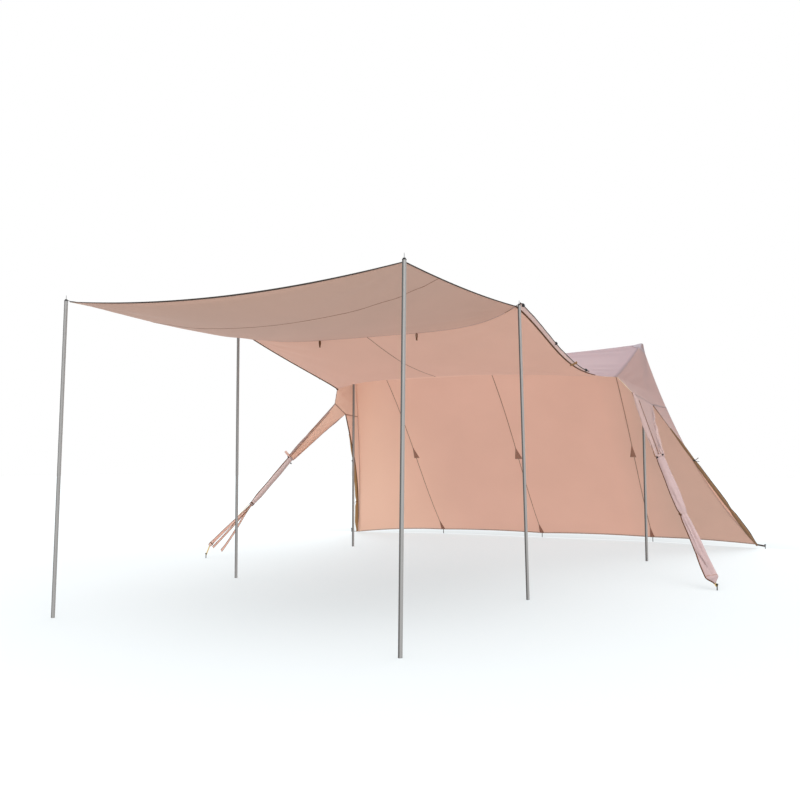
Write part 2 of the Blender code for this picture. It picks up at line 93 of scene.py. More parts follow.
WALL_FOOT = (0.000, 2.553, 0.070)
SIDE_SEAM_TOP_X = 1.600
SIDE_SEAM_FOOT = (1.690, 2.553, 0.070)
FAR_CORNER = (3.130, 2.220, 0.050)
FAR_HIP_HANDLE = (2.350, 0.910, 1.030)
NEAR_HIP_BOW = 0.015
WALL_BULGE = 0.130
WALL_BULGE_TILT = 1.6
HEM_RISE = 0.015
DOOR_APEX = (2.115, -0.030, 1.862)
DOOR_FAR_FOOT = (3.118, 2.170, 0.052)
APEX_ON_HIP = 0.25
STRIP_TOP = (1.970, -0.580, 1.972)
GATHER = (2.333, -1.086, 1.233)
GATHER_WIDTH = 0.105
GATHER_SLANT = {"right": (0.90, 0.43, 0.09), "left": (-0.10, 0.70, -0.60)}
STRIP_BOW = (-0.030, -0.090, 0.000)

NEAR_ROLL_TIE = (2.617, -1.555, 0.638)
NEAR_ROLL_FOOT = (2.895, -1.985, 0.105)
NEAR_PEG = (2.938, -2.035)
FAR_PEG = (3.230, 2.165)
STAKE_Z = 0.036

CAP_HEIGHT = 0.006
CLOTH_THICKNESS = 0.0014
UP = (0.0, 0.0, 1.0)
print("ridge", 2 * RIDGE_POLE[0], "m long, awning out to", -FRONT_CORNER[1], "m from it")

# %% [markdown]
# ## Curves and stretched cloth
#
# A tarp that is pulled tight spans its frame much as a soap film does, so each panel is worked out from
# its four edges: the two ways of blending opposite edges are added, and what they share, the blend of the
# four corners, is taken away once. Edges are Bezier curves, which pass from corner to corner and lean
# towards their handles.


# %% Curves and stretched grids
def mirrored(points, side):
    """The points, with X turned over on the left-hand side."""
    return np.asarray(points, float) * (side, 1, 1)


def bezier(t, *controls):
    """Bezier curve: the controls' average, weighted by the binomial terms of t and 1 - t."""
    t = np.asarray(t, float)[:, None]
    degree = len(controls) - 1
    weights = [math.comb(degree, k) * t ** k * (1 - t) ** (degree - k) for k in range(degree + 1)]
    return sum(weight * np.array(point) for weight, point in zip(weights, controls))


def middle(a, b, offset=(0, 0, 0)):
    """The point halfway between two others, moved by the offset."""
    return (np.array(a) + np.array(b)) / 2 + np.array(offset)


def unit(vectors):
    """The vectors divided by their lengths."""
    vectors = np.asarray(vectors, float)
    return vectors / np.maximum(np.linalg.norm(vectors, axis=-1, keepdims=True), 1e-9)


def both_halves(half):
    """Grid made of a right-hand half and its mirror image, which share the middle row."""
    return np.concatenate([mirrored(half, -1)[:0:-1], half])


def stretched(front, back, left, right):
    """Grid between four edges: front to back blended, plus left to right, less the blend of the corners."""
    u = np.linspace(0, 1, len(front))[:, None, None]
    v = np.linspace(0, 1, len(left))[None, :, None]
    along = (1 - v) * front[:, None] + v * back[:, None]
    across = (1 - u) * left[None] + u * right[None]
    near_corners = (1 - u) * front[0] + u * front[-1]
    far_corners = (1 - u) * back[0] + u * back[-1]
    return along + across - (1 - v) * near_corners - v * far_corners


def surface_normals(grid):
    """Cross product of the grid's two directions of travel, each by central differences."""
    return unit(np.cross(np.gradient(grid, axis=0), np.gradient(grid, axis=1)))


def sample(grid, a, b):
    """Grid at shares a and b of its two directions, one or many: the four nearest points are blended."""
    x = np.clip(np.asarray(a, float), 0, 1) * (grid.shape[0] - 1)
    y = np.clip(np.asarray(b, float), 0, 1) * (grid.shape[1] - 1)
    i, j = np.minimum(x.astype(int), grid.shape[0] - 2), np.minimum(y.astype(int), grid.shape[1] - 2)
    p, q = (x - i)[..., None], (y - j)[..., None]
    near = (1 - q) * grid[i, j] + q * grid[i, j + 1]
    far = (1 - q) * grid[i + 1, j] + q * grid[i + 1, j + 1]
    return (1 - p) * near + p * far


square = [bezier([0, 1], a, b) for a, b in (((0, 0, 0), (1, 0, 0)), ((0, 1, 0), (1, 1, 0)),
                                            ((0, 0, 0), (0, 1, 0)), ((1, 0, 0), (1, 1, 0)))]
print("a stretched square is flat:", stretched(*square)[..., 2].max())

# %% [markdown]
# ## Shader maths as Python
#
# A finish is a small program. Written with nodes one by one it is hard to read, so one class wraps a
# node's output and lets Python's own signs add the Math nodes. Its one method, `node`, makes any other
# node from its type, its settings and the values of its sockets, and a few short ones name the nodes that
# come most often.


# %% Shader sums
class Shade:
    """One output of a node in a material, which can be added, multiplied and so on."""

    def __init__(self, tree, output):
        self.tree = tree
        self.output = output

    def node(self, kind, settings=None, result=0, **sockets):
        """Adds a node with its settings, then sets or links the sockets named in sockets (_ for a space)."""
        made = self.tree.nodes.new(kind)
        for key, value in (settings or {}).items():
            if key == "stops":
                ramp = made.color_ramp
                for place, colour in value[2:]:
                    ramp.elements.new(place).color = colour
                for element, (place, colour) in zip(list(ramp.elements)[:2], value[:2]):
                    element.position, element.color = place, colour
            else:
                setattr(made, key, value)
        for key, value in sockets.items():
            place = int(key[1:]) if key[1:].isdigit() else key.replace("_", " ")
            socket = made.inputs[place]
            if isinstance(value, Shade):
                self.tree.links.new(value.output, socket)
            else:
                socket.default_value = value
        return Shade(self.tree, made.outputs[result])

    def math(self, operation, first, second=0.0):
        """A Math node on two values or outputs."""
        return self.node("ShaderNodeMath", {"operation": operation}, i0=first, i1=second)

    def __add__(self, other):
        return self.math("ADD", self, other)

    def __radd__(self, other):
        return self.math("ADD", other, self)

    def __sub__(self, other):
        return self.math("SUBTRACT", self, other)

    def __rsub__(self, other):
        return self.math("SUBTRACT", other, self)

    def __mul__(self, other):
        return self.math("MULTIPLY", self, other)

    def __rmul__(self, other):
        return self.math("MULTIPLY", other, self)

    def __truediv__(self, other):
        return self.math("DIVIDE", self, other)

    def __gt__(self, other):
        return self.math("GREATER_THAN", self, other)

    def __lt__(self, other):
        return self.math("LESS_THAN", self, other)

    def sine(self):
        return self.math("SINE", self)

    def fraction(self):
        return self.math("FRACT", self)

    def size(self):
        return self.math("ABSOLUTE", self)

    def axis(self, index):
        """One of a place's three numbers: 0 for X, 1 for Y, 2 for Z."""
        return self.node("ShaderNodeSeparateXYZ", None, index, Vector=self)

    def noise(self, where, scale, detail=3.0, roughness=0.5):
        """Cloudy value from 0 to 1."""
        return self.node("ShaderNodeTexNoise", None, Vector=where, Scale=scale, Detail=detail,
                         Roughness=roughness)

    def blend(self, share, first, second):
        """Colour that goes from the first to the second."""
        settings = {"data_type": "RGBA"}
        return self.node("ShaderNodeMix", settings, 2, Factor=share, i6=first, i7=second)


def new_finish(name, roughness=0.8, metallic=0.0, **constants):
    """Material with a Principled shader; returns it, the shader and a start for its sums."""
    finish = bpy.data.materials.new(name)
    finish.use_nodes = True
    shader = finish.node_tree.nodes["Principled BSDF"]
    shader.inputs["Roughness"].default_value = roughness
    shader.inputs["Metallic"].default_value = metallic
    for key, value in constants.items():
        shader.inputs[key.replace("_", " ")].default_value = value
    return finish, shader, Shade(finish.node_tree, None)


def wire(start, shader, **results):
    """Links the sums to the shader's sockets."""
    for key, value in results.items():
        start.tree.links.new(value.output, shader.inputs[key.replace("_", " ")])


print("shader sums ready")

# %% [markdown]
# ## Tarp cloth
#
# The cloth is a plain-woven polyester with a thin coating. Outside it looks a cool pinkish lavender,
# inside a warm peach that glows, because daylight comes through. All the cloth finishes come from one
# function: crossing threads under a millimetre apart, faint cloudiness from the coating, and the soft
# crumple of cloth that has been packed in a bag. A Translucent shader is mixed in for the light from
# behind. The weave follows the piece's own UV map, which is in metres, so that it turns with the cloth.

# %% Cloth finish
THREAD = 0.0009
THREAD_HEIGHT = 0.00006
CRUMPLE = 0.0016
CLOUD_SCALE = 1.3
GRAIN_SCALE = 55.0
CREASE_SCALE = 5.0


def tint(colour, factor):
    """The colour made lighter or darker, as an opaque colour."""
    return (*[min(1.0, c * factor) for c in colour], 1.0)


def cloth_finish(name, colour, behind, sheerness, crumple=CRUMPLE, roughness=0.78, contrast=0.08, fade=0.0,
                 ends=(), gloss=0.5):
    """Woven cloth: threads are two crossing sine waves, clouds are slow noise and crumple is creased noise.

    Fade is what the share of light from behind gains with each metre along the map's U. Each of the ends
    gives two places along V and, for the cloth from the second on, a painted colour, lighter for painted
    light or darker for painted shade, and what the share gains."""
    finish, shader, start = new_finish(name, roughness, Sheen_Weight=0.10, Sheen_Roughness=0.5,
                                       Specular_IOR_Level=gloss)
    uv = start.node("ShaderNodeUVMap", {"uv_map": "cloth"})
    along = uv.axis(0)
    across = uv.axis(1)
    threads = (along * (2 * math.pi / THREAD)).sine() * (across * (2 * math.pi / THREAD)).sine()
    clouds = start.noise(uv, CLOUD_SCALE, 4.0, 0.6)
    grain = start.noise(uv, GRAIN_SCALE, 2.0)
    creases = (start.noise(uv, CREASE_SCALE, 4.0, 0.55) - 0.5).size()
    share = clouds * 0.75 + grain * 0.18 + threads * 0.05
    height = creases * (-2 * crumple) + threads * THREAD_HEIGHT
    bump = start.node("ShaderNodeBump", None, Strength=0.55, Distance=1.0, Height=height)
    base = start.blend(share, tint(colour, 1 - contrast), tint(colour, 1 + contrast))
    glow = start.node("ShaderNodeBsdfTranslucent", None, Color=tint(behind, 1.0), Normal=bump)
    front = Shade(start.tree, shader.outputs[0])
    share_behind = (clouds - 0.5) * 0.10 + along * fade + sheerness
    # Painted light and shade: the colour turns to each end's painted colour between its two places.
    for begin, full, painted_end_colour, gain in ends:
        reached = start.node("ShaderNodeMapRange", None, Value=across, From_Min=begin, From_Max=full)
        base = start.blend(reached, base, tint(painted_end_colour, 1.0))
        share_behind = share_behind + reached * gain
    wire(start, shader, Base_Color=base, Roughness=roughness + (grain - 0.5) * 0.12, Normal=bump)
    mixed = start.node("ShaderNodeMixShader", None, Fac=share_behind, i1=front, i2=glow)
    start.tree.links.new(mixed.output, finish.node_tree.nodes["Material Output"].inputs["Surface"])
    return finish


print("cloth finish ready, threads", THREAD * 1000, "mm apart")

# %% [markdown]
# ## The cloth's colours
#
# One dye looks different all over a tent: cool and pale where daylight falls on it, warm where daylight
# shines through. A picture could hold that, but it would be wrong from any other side. So that light and
# shade are painted into the colours part by part: each part of the cloth gets its own finish from the same
# function, a lit or shaded copy of the dye, with its own colour, its own light from behind and its own
# sheerness. Rolled cloth is darker and more creased, and lets little through.

# %% Cloth colours
PEACH = (0.760, 0.440, 0.320)
PEACH_GLOW = (0.975, 0.690, 0.555)
# Outside: copies of one dye, each painted for how daylight falls on its part; the gables' copy is painted
# warmer for the light shining through from inside.
outside_cloth = cloth_finish("tarp_outside", (0.330, 0.300, 0.358), (0.710, 0.615, 0.615), 0.50,
                             contrast=0.14)
gable_cloth = cloth_finish("gable_outside", (0.350, 0.298, 0.308), (0.750, 0.625, 0.595), 0.50)
awning_cloth = cloth_finish("awning_outside", (0.400, 0.350, 0.390), (0.740, 0.640, 0.610), 0.38)
# Inside: the same dye painted warm peach, as painted light for the daylight shining through, besides the
# Translucent shader's light from behind.
inside_cloth = cloth_finish("tarp_inside", PEACH, PEACH_GLOW, 0.63, 0.0010)
# Painted light and shade on the far wall's inside: lighter and warmer towards its left end, darker brown over
# its right part, by the door.
wall_inside_cloth = cloth_finish("wall_inside", PEACH, PEACH_GLOW, 0.63, 0.0010,
                                 ends=((1.5, 0.3, (0.960, 0.600, 0.430), -0.26),
                                       (3.9, 4.5, (0.420, 0.320, 0.240), 0.0)))
# Painted light: a brighter copy of the inside cloth for the left gable's inside, where more daylight falls.
left_inside_cloth = cloth_finish("left_gable_inside", (0.990, 0.640, 0.480), (0.990, 0.750, 0.620), 0.55,
                                 0.0010)
# Painted shade: darker copies of the inside cloth for the awning's underside and the raised wall's inside.
underside_cloth = cloth_finish("awning_underside", (0.470, 0.300, 0.232), (0.790, 0.550, 0.450), 0.36,
                               0.0010, fade=0.16)
raised_wall_cloth = cloth_finish("raised_wall_inside", (0.680, 0.400, 0.300), (0.920, 0.650, 0.540), 0.50,
                                 0.0010, fade=0.10)
flap_cloth = cloth_finish("flap_cloth", (0.520, 0.400, 0.370), (0.900, 0.740, 0.700), 0.40)
# Painted shade: the patches are painted dark brown for the doubled cloth in the light from behind; their low
# sheerness also lets less light through.
patch_cloth = cloth_finish("patch_cloth", (0.360, 0.165, 0.105), (0.500, 0.300, 0.220), 0.20)
stake_cloth = cloth_finish("stake_patch_cloth", (0.270, 0.090, 0.045), (0.420, 0.170, 0.100), 0.15)
peak_cloth = cloth_finish("peak_patch_cloth", (0.400, 0.350, 0.390), (0.700, 0.580, 0.560), 0.35)
roll_cloth = cloth_finish("door_roll_cloth", (0.455, 0.332, 0.328), (0.850, 0.680, 0.640), 0.16, 0.0200,
                          contrast=0.42)
left_roll_cloth = cloth_finish("left_roll_cloth", (0.560, 0.435, 0.410), (0.850, 0.680, 0.640), 0.16, 0.0120,
                               contrast=0.30)
strand_cloth = cloth_finish("loose_strand_cloth", (0.800, 0.540, 0.460), (0.960, 0.740, 0.650), 0.30, 0.0100,
                            contrast=0.30)
# Painted light: the right strip's inside is a lighter copy of the inside cloth.
strip_inside = cloth_finish("strip_inside", (0.800, 0.520, 0.400), (0.960, 0.730, 0.610), 0.50, 0.0020)
fold_cloth = cloth_finish("corner_fold_cloth", (0.450, 0.318, 0.298), (0.900, 0.740, 0.690), 0.16, 0.0140,
                          contrast=0.42)
dark_roll_cloth = cloth_finish("dark_roll_cloth", (0.240, 0.130, 0.065), (0.400, 0.270, 0.160), 0.12, 0.0080,
                               contrast=0.60, gloss=0.1)
ochre_roll_cloth = cloth_finish("ochre_roll_cloth", (0.400, 0.210, 0.080), (0.550, 0.360, 0.180), 0.15,
                                0.0080, contrast=0.40, gloss=0.1)
print("cloth finishes:", [m.name for m in (outside_cloth, inside_cloth, underside_cloth, roll_cloth)])

# %% [markdown]
# ## Webbing and bindings
#
# Raw edges are folded into a ribbed tape and sewn down with two rows of stitches. The ribs run across the
# tape, and the stitches are short dashes close to its edges. Each rib and stitch could be a solid of its
# own, but they are about a millimetre high, so a bump from a sine wave and from rows of dashes shows them
# as well.

# %% Tape finish
RIB = 0.0022
STITCH = 0.004
STITCH_DASH = 0.65
STITCH_ROW = 0.005
STITCH_HALF_WIDTH = 0.0007


def tape_finish(name, colour, stitches=True):
    """Ribbed tape: a sine wave along it, with a row of dashes at a set distance on each side of its U."""
    finish, shader, start = new_finish(name, 0.85, Specular_IOR_Level=0.12)
    uv = start.node("ShaderNodeUVMap", {"uv_map": "cloth"})
    across = uv.axis(0)
    along = uv.axis(1)
    ribs = (along * (2 * math.pi / RIB)).sine()
    grain = start.noise(uv, 90.0)
    share = ribs * 0.15 + grain * 0.7
    colour_sum = start.blend(share, tint(colour, 0.75), tint(colour, 1.3))
    height = ribs * 0.00015
    if stitches:
        dashes = (along / STITCH).fraction() < STITCH_DASH
        rows = ((across.size() - STITCH_ROW).size() < STITCH_HALF_WIDTH) * dashes
        colour_sum = start.blend(rows * 0.6, colour_sum, tint(colour, 2.6))
        height = height + rows * 0.0004
    bump = start.node("ShaderNodeBump", None, Strength=0.6, Distance=1.0, Height=height)
    wire(start, shader, Base_Color=colour_sum, Normal=bump)
    return finish


dark_tape = tape_finish("dark_binding", (0.055, 0.042, 0.036))
dark_brown_tape = tape_finish("dark_brown_binding", (0.110, 0.050, 0.026))
brown_tape = tape_finish("brown_binding", (0.190, 0.090, 0.042))
ochre_tape = tape_finish("ochre_tie", (0.240, 0.130, 0.060))
pale_tape = tape_finish("pale_binding", (0.680, 0.520, 0.330))
# Painted shade: the inside seam tape is dark where the doubled cloth lets less light through.
seam_tape = tape_finish("sewn_seam", (0.300, 0.170, 0.125))
outer_seam_tape = tape_finish("outer_seam", (0.330, 0.270, 0.290), stitches=False)
yellow_webbing = tape_finish("yellow_webbing", (0.620, 0.450, 0.180))
grey_webbing = tape_finish("grey_webbing", (0.110, 0.095, 0.088))
rim_tape = tape_finish("rim_binding", (0.330, 0.200, 0.165))
print("tape finishes ready, ribs", RIB * 1000, "mm apart")

# %% [markdown]
# ## Marks on metal and plastic
#
# The poles are satin grey tubes with fine marks drawn along them, and caps and pegs are worn in much the
# same way. Scratches could come from a picture, but these are solids of the frame and have no UV map. So
# the marks are noise in Object coordinates: stretched along Z for the drawn streaks, slow for the dull
# places.


# %% Hard finishes
STREAK_SCALE = (260.0, 260.0, 6.0)
SCUFF_GREY = (0.30, 0.28, 0.26, 1.0)


def drawn_marks(place):
    """Streaks from noise stretched along Z, dull places from slow noise, and the mix of both for a colour."""
    drawn = place.node("ShaderNodeMapping", None, Vector=place, Scale=STREAK_SCALE)
    streaks = place.noise(drawn, 1.0, 2.0)
    dull = place.noise(place, 3.5, 3.0)
    return streaks, dull, streaks * 0.6 + dull * 0.4


def hard_finish(name, colour, roughness, streak, scuffs=0.0):
    """Plastic or dark steel: lighter and darker by the share streak, with scuffs where quick noise peaks."""
    finish, shader, start = new_finish(name, roughness, Specular_IOR_Level=0.15)
    place = start.node("ShaderNodeTexCoord", None, 3)
    streaks, dull, marks = drawn_marks(place)
    colour_sum = start.blend(marks, tint(colour, 1 - streak), tint(colour, 1 + streak))
    if scuffs:
        rubbed = start.noise(place, 140.0, 3.0) > 1 - scuffs
        colour_sum = start.blend(rubbed * 0.25, colour_sum, SCUFF_GREY)
    bump = start.node("ShaderNodeBump", None, Strength=0.3, Distance=1.0, Height=streaks * 0.0003)
    wire(start, shader, Base_Color=colour_sum, Roughness=roughness + (dull - 0.5) * 0.2, Normal=bump)
    return finish


print("streaks are", round(STREAK_SCALE[0] / STREAK_SCALE[2]), "times as long as they are wide")

# %% [markdown]
# ## Poles
#
# The real poles are anodised tubes. Each is darker on its left, where it lies in shade, and that shade is
# painted into its colour, with that side made duller as well. A painted side would slide off a pole that
# leans, so each finish knows its own pole's axis, measured from the solid, and works out how far across
# the pole a point lies.

# %% Pole finish
# Painted shade: the side of each pole that faces this way is painted dark grey and made rougher.
SHADED_DULL_SIDE = np.array((-0.90, -0.436))
SHADED_DULL_EDGE = (0.22, 0.50)
PAINTED_SHADE_GREY = (0.095, 0.091, 0.088, 1.0)
DARK_SATIN = (0.250, 0.243, 0.237, 1.0)
LIGHT_SATIN = (0.330, 0.321, 0.312, 1.0)


def read_values(items, what, size):
    """One kind of value of all the items of a mesh, a row of numbers for each."""
    values = np.zeros(len(items) * size)
    items.foreach_get(what, values)
    return values.reshape(-1, size)


def pole_axis(node):
    """Middle of a pole's foot and of its top, and its radius, from its solid's lowest and highest corners."""
    corners = read_values(node.data.vertices, "co", 3)
    low, high = corners[:, 2].min(), corners[:, 2].max()
    foot = corners[corners[:, 2] < low + 0.01]
    top = corners[corners[:, 2] > high - 0.01]
    return foot.mean(axis=0), top.mean(axis=0), np.ptp(foot[:, 0]) / 2


def pole_finish(name, foot, top, radius):
    """Satin metal with painted shade on its left, where it is also rougher, past a soft edge: the distance
    across the pole tells the side.
    """
    finish, shader, start = new_finish(name, 0.42, 0.25)
    place = start.node("ShaderNodeTexCoord", None, 3)
    dull, marks = drawn_marks(place)[1:]
    towards = SHADED_DULL_SIDE / radius
    rise = (place.axis(2) - foot[2]) / (top[2] - foot[2])
    lean = (top - foot)[:2] @ towards
    across = place.axis(0) * towards[0] + place.axis(1) * towards[1] - rise * lean - foot[:2] @ towards
    shaded_dull_share = start.node("ShaderNodeMapRange", None, Value=across, From_Min=SHADED_DULL_EDGE[0],
                        From_Max=SHADED_DULL_EDGE[1])
    shine = start.blend(marks, DARK_SATIN, LIGHT_SATIN)
    wire(start, shader, Base_Color=start.blend(shaded_dull_share, shine, PAINTED_SHADE_GREY),
         Roughness=shaded_dull_share * 0.3 + dull * 0.2 + 0.32)
    return finish


print("poles shine from", LIGHT_SATIN[0], "down to", PAINTED_SHADE_GREY[0])

# %% [markdown]
# ## Caps, spikes and pegs
#
# On the real poles a black moulded cap carries a grey steel spike, which the cloth's eyelets drop over.
# The pegs are dark forged steel with a few pale scuffs. Cap and spike are one solid of the frame, so one
# finish serves both and changes from black to grey at the cap's height.


# %% Caps and pegs
def tip_finish(name, pole_top):
    """Black moulded cap up to its height above the pole, and the grey steel of the spike from there on."""
    finish, shader, start = new_finish(name, 0.4, Specular_IOR_Level=0.2)
    place = start.node("ShaderNodeTexCoord", None, 3)
    height = place.axis(2)
    worn = start.noise(place, 90.0, 3.0)
    is_spike = height > pole_top + CAP_HEIGHT
    black = start.blend(worn, (0.010, 0.010, 0.010, 1.0), (0.030, 0.030, 0.032, 1.0))
    grey = start.blend(worn, (0.300, 0.300, 0.300, 1.0), (0.480, 0.480, 0.480, 1.0))
    wire(start, shader, Base_Color=start.blend(is_spike, black, grey), Roughness=0.35 + worn * 0.2)
    return finish


cap_plastic = hard_finish("cap_plastic", (0.020, 0.020, 0.022), 0.45, 0.25)
peg_steel = hard_finish("peg_steel", (0.008, 0.008, 0.008), 0.60, 0.2, scuffs=0.30)
mid_tip = tip_finish("mid_tip", MID_TOP[2])
front_tip = tip_finish("front_tip", FRONT_TOP[2])

hard = {}
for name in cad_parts:
    words = name.split("_")
    if "tip" in words:
        hard[name] = mid_tip if "mid" in words else front_tip
    elif "peg" in words:
        hard[name] = peg_steel
    elif "pole" in words:
        hard[name] = pole_finish(f"{name}_metal", *pole_axis(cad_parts[name]))
for name, finish in hard.items():
    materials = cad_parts[name].data.materials
    materials.clear()
    materials.append(finish)
print("hard finishes on", list(hard))

# %% [markdown]
# ## From a grid to a piece
#
# Each new piece is a grid of points. It could be modelled by hand and bent with modifiers, but a grid
# that numpy works out is exact and knows how long the real cloth is. One function turns it into a mesh
# and gives it a UV map in metres, so that a thread is as wide on a strap as on the roof.


# %% Meshes from grids
def running_length(points, axis):
    """Distance travelled along one direction of the grid, summed from step to step."""
    steps = np.linalg.norm(np.diff(points, axis=axis), axis=-1)
    total = np.cumsum(steps, axis=axis)
    start = np.zeros_like(np.take(total, [0], axis=axis))
    return np.concatenate([start, total], axis=axis)


def metre_map(points):
    """UV in metres: distance across each row from its middle, and the mean distance down to the row."""
    down = running_length(points, 0).mean(axis=1, keepdims=True) + np.zeros(points.shape[:2])
    across = running_length(points, 1)
    return np.stack([across - across[:, -1:] / 2, down], axis=-1)


def cell_corners(grid):
    """Four corners of every cell of a grid, in turn."""
    return grid[:-1, :-1], grid[1:, :-1], grid[1:, 1:], grid[:-1, 1:]


def quad_corners(index):
    """A row of four corners for every cell of an index grid."""
    return np.stack(cell_corners(index), axis=-1).reshape(-1, 4)


def make_mesh(name, points, ring=False):
    """Mesh of a grid of points; a ring joins its last column to its first and closes both ends."""
    rows, columns = points.shape[:2]
    index = np.arange(rows * columns).reshape(rows, columns)
    wrapped = np.concatenate([index, index[:, :1]], axis=1) if ring else index
    faces = quad_corners(wrapped).tolist()
    spread = np.concatenate([points, points[:, :1]], axis=1) if ring else points
    uv = metre_map(spread).reshape(-1, 2)
    uv_index = quad_corners(np.arange(len(uv)).reshape(spread.shape[:2])).ravel()
    uv = uv[uv_index]
    if ring:
        faces += [index[0, ::-1].tolist(), index[-1].tolist()]
        uv = np.concatenate([uv, np.zeros((2 * columns, 2))])
    mesh = bpy.data.meshes.new(name)
    mesh.from_pydata((points + ORIGIN).reshape(-1, 3).tolist(), [], faces)
    layer = mesh.uv_layers.new(name="cloth")
    layer.data.foreach_set("uv", uv.astype(np.float32).ravel())
    mesh.shade_smooth()
    return mesh


print("grids become meshes with a map in metres")

# %% [markdown]
# ## Pieces that ride with the frame
#
# Its faces could be turned outwards by hand, but here their areas, summed by the way they face, tell
# whether the grid was written inside out. A Solidify modifier gives cloth its thickness, and its second
# side takes the second finish. That is how one dye is painted lavender outside and peach inside, as lit
# and shaded copies for the daylight on it and through it.

# %% Pieces
sewn_to = {}


def add_piece(name, points, finishes, slot, ring=False, outwards=None, thickness=0.0, replaces=(), on=None):
    """Object from a grid: a sheet's faces are turned towards outwards, a ring's away from its middle."""
    mesh = make_mesh(name, points, ring)
    areas, normals, centres = (read_values(mesh.polygons, what, size)
                               for what, size in (("area", 1), ("normal", 3), ("center", 3)))
    facing = centres - centres.mean(axis=0) if outwards is None else np.array(outwards, float)
    if ((normals * facing).sum(axis=1) * areas[:, 0]).sum() < 0:
        mesh.flip_normals()
    for finish in finishes:
        mesh.materials.append(finish)
    piece = bpy.data.objects.new(name, mesh)
    bpy.context.scene.collection.objects.link(piece)
    if thickness:
        layer = piece.modifiers.new("thickness", "SOLIDIFY")
        layer.thickness = thickness
        layer.offset = 0.0
        layer.material_offset = len(finishes) - 1
    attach(piece, "root")
    if replaces:
        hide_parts(*replaces)
    if on:
        sewn_to.setdefault(on, []).append(piece)
    return piece


print("pieces ready; a sheet will be", CLOTH_THICKNESS * 1000, "mm thick")

# %% [markdown]
# ## Sheets and what is sewn to them
#
# Real cloth is cut flat and then stretched, gathered or rolled, and whoever drapes it again has to know
# that flat cut. It could be guessed from the outline, but the grid knows it better: its longest runs give
# the cut and its cells the area. The bands that are sewn to a sheet are made later, so each sheet's cut
# and area are worked out at the very end.


# %% Sheets
def flat_area(points):
    """Area of a grid: half the cross products of each cell's two triangles."""
    a, b, c, d = cell_corners(points)
    first = np.linalg.norm(np.cross(b - a, c - a), axis=-1)
    second = np.linalg.norm(np.cross(c - a, d - a), axis=-1)
    return float((first + second).sum() / 2)


def smallest_cut(points):
    """Sides of the smallest rectangle round a nearly flat piece, found by turning its main directions."""
    centred = points.reshape(-1, 3) - points.reshape(-1, 3).mean(axis=0)
    flat = centred @ np.linalg.svd(centred, full_matrices=False)[2][:2].T
    turns = np.linspace(0, math.pi / 2, 181)
    spin = np.array([[np.cos(turns), -np.sin(turns)], [np.sin(turns), np.cos(turns)]])
    spread = np.ptp(np.einsum("pk,kjt->pjt", flat, spin), axis=0)
    best = np.argmin(spread.prod(axis=0))
    return tuple(float(x) for x in spread[:, best])


sheets = []


def add_sheet(name, points, finishes, slot, held, rests_on, thickness=CLOTH_THICKNESS, flat_piece=False,
              **more):
    """Piece that is a sheet; its cut and area are worked out once all that is sewn to it is made."""
    piece = add_piece(name, points, finishes, slot, thickness=thickness, **more)
    sheets.append((piece, points, held, rests_on, flat_piece))
    return piece


def declare_sheet(piece, points, held, rests_on, flat_piece):
    """Works out a sheet's cut, its grid's longest run each way or the smallest rectangle round it, and its
    area, and keeps neither.
    """
    cut = (float(running_length(points, 1).max()), float(running_length(points, 0).max()))
    if flat_piece:
        cut = smallest_cut(points)
    area = min(flat_area(points), cut[0] * cut[1])


one_metre = np.array([[(0, 0, 0), (1, 0, 0)], [(0, 1, 0), (1, 1, 0)]])
print("a grid of one metre by one measures", flat_area(one_metre), "m2")

# %% [markdown]
# ## Folds
#
# Cloth that is pulled at a corner throws long shallow folds that fan out from it, and cloth that hangs
# slack between two supports ripples along the line between them. Both are small moves along the surface's
# own normal: a sine wave in the angle about the corner, or in the distance from the edge, that fades with
# distance and at the grid's border.


# %% Folds on a grid
FADE_MARGIN = 0.06
QUIET_CORNER = 0.12
FAR_CORNER_SETTLE = 0.045
SETTLE_REACH = 1.5
FLOOR_CLEARANCE = 0.006


def smooth(x):
    """Three times x squared less twice x cubed, which leaves 0 and reaches 1 level."""
    return x * x * (3 - 2 * x)


def border_fade(rows, columns):
    """Zero at the grid's edges and one inside, so that neighbours still meet."""
    a, b = (smooth(np.minimum(1, np.minimum(np.linspace(0, 1, n), np.linspace(1, 0, n)) / FADE_MARGIN))
            for n in (rows, columns))
    return a[:, None] * b[None, :]


def fan_folds(grid, corner, count, depth, reach, phase=0.0):
    """Depth times a sine of the bearing about a corner, fading with the distance over the reach."""
    length, width = running_length(grid, 0), running_length(grid, 1)
    a = length if corner[0] == 0 else length.max(axis=0, keepdims=True) - length
    b = width if corner[1] == 0 else width.max(axis=1, keepdims=True) - width
    distance = np.hypot(a, b)
    bearing = np.arctan2(a, b)
    fade = np.exp(-distance / reach) * (1 - np.exp(-distance / QUIET_CORNER))
    return depth * np.sin(2 * count * bearing + phase) * fade


def wander(rows, columns, seed, waves=5, slow=2.0):
    """Smooth uneven value about zero: a few long sine waves with drawn slopes and phases."""
    draw = np.random.default_rng(seed)
    a, b = np.linspace(0, 1, rows)[:, None], np.linspace(0, 1, columns)[None, :]
    turns = draw.uniform(-slow, slow, (waves, 2)) * 2 * math.pi
    phases = draw.uniform(0, 2 * math.pi, waves)
    return sum(np.sin(turns[k, 0] * a + turns[k, 1] * b + phases[k]) for k in range(waves)) / waves


def lifted(grid, height):
    """The grid moved along its normals by the height at each point."""
    return grid + surface_normals(grid) * (height * border_fade(*grid.shape[:2]))[..., None]


def uneven(grid, depth, seed):
    """The grid with a slow unevenness of this depth."""
    return lifted(grid, depth * wander(*grid.shape[:2], seed=seed))


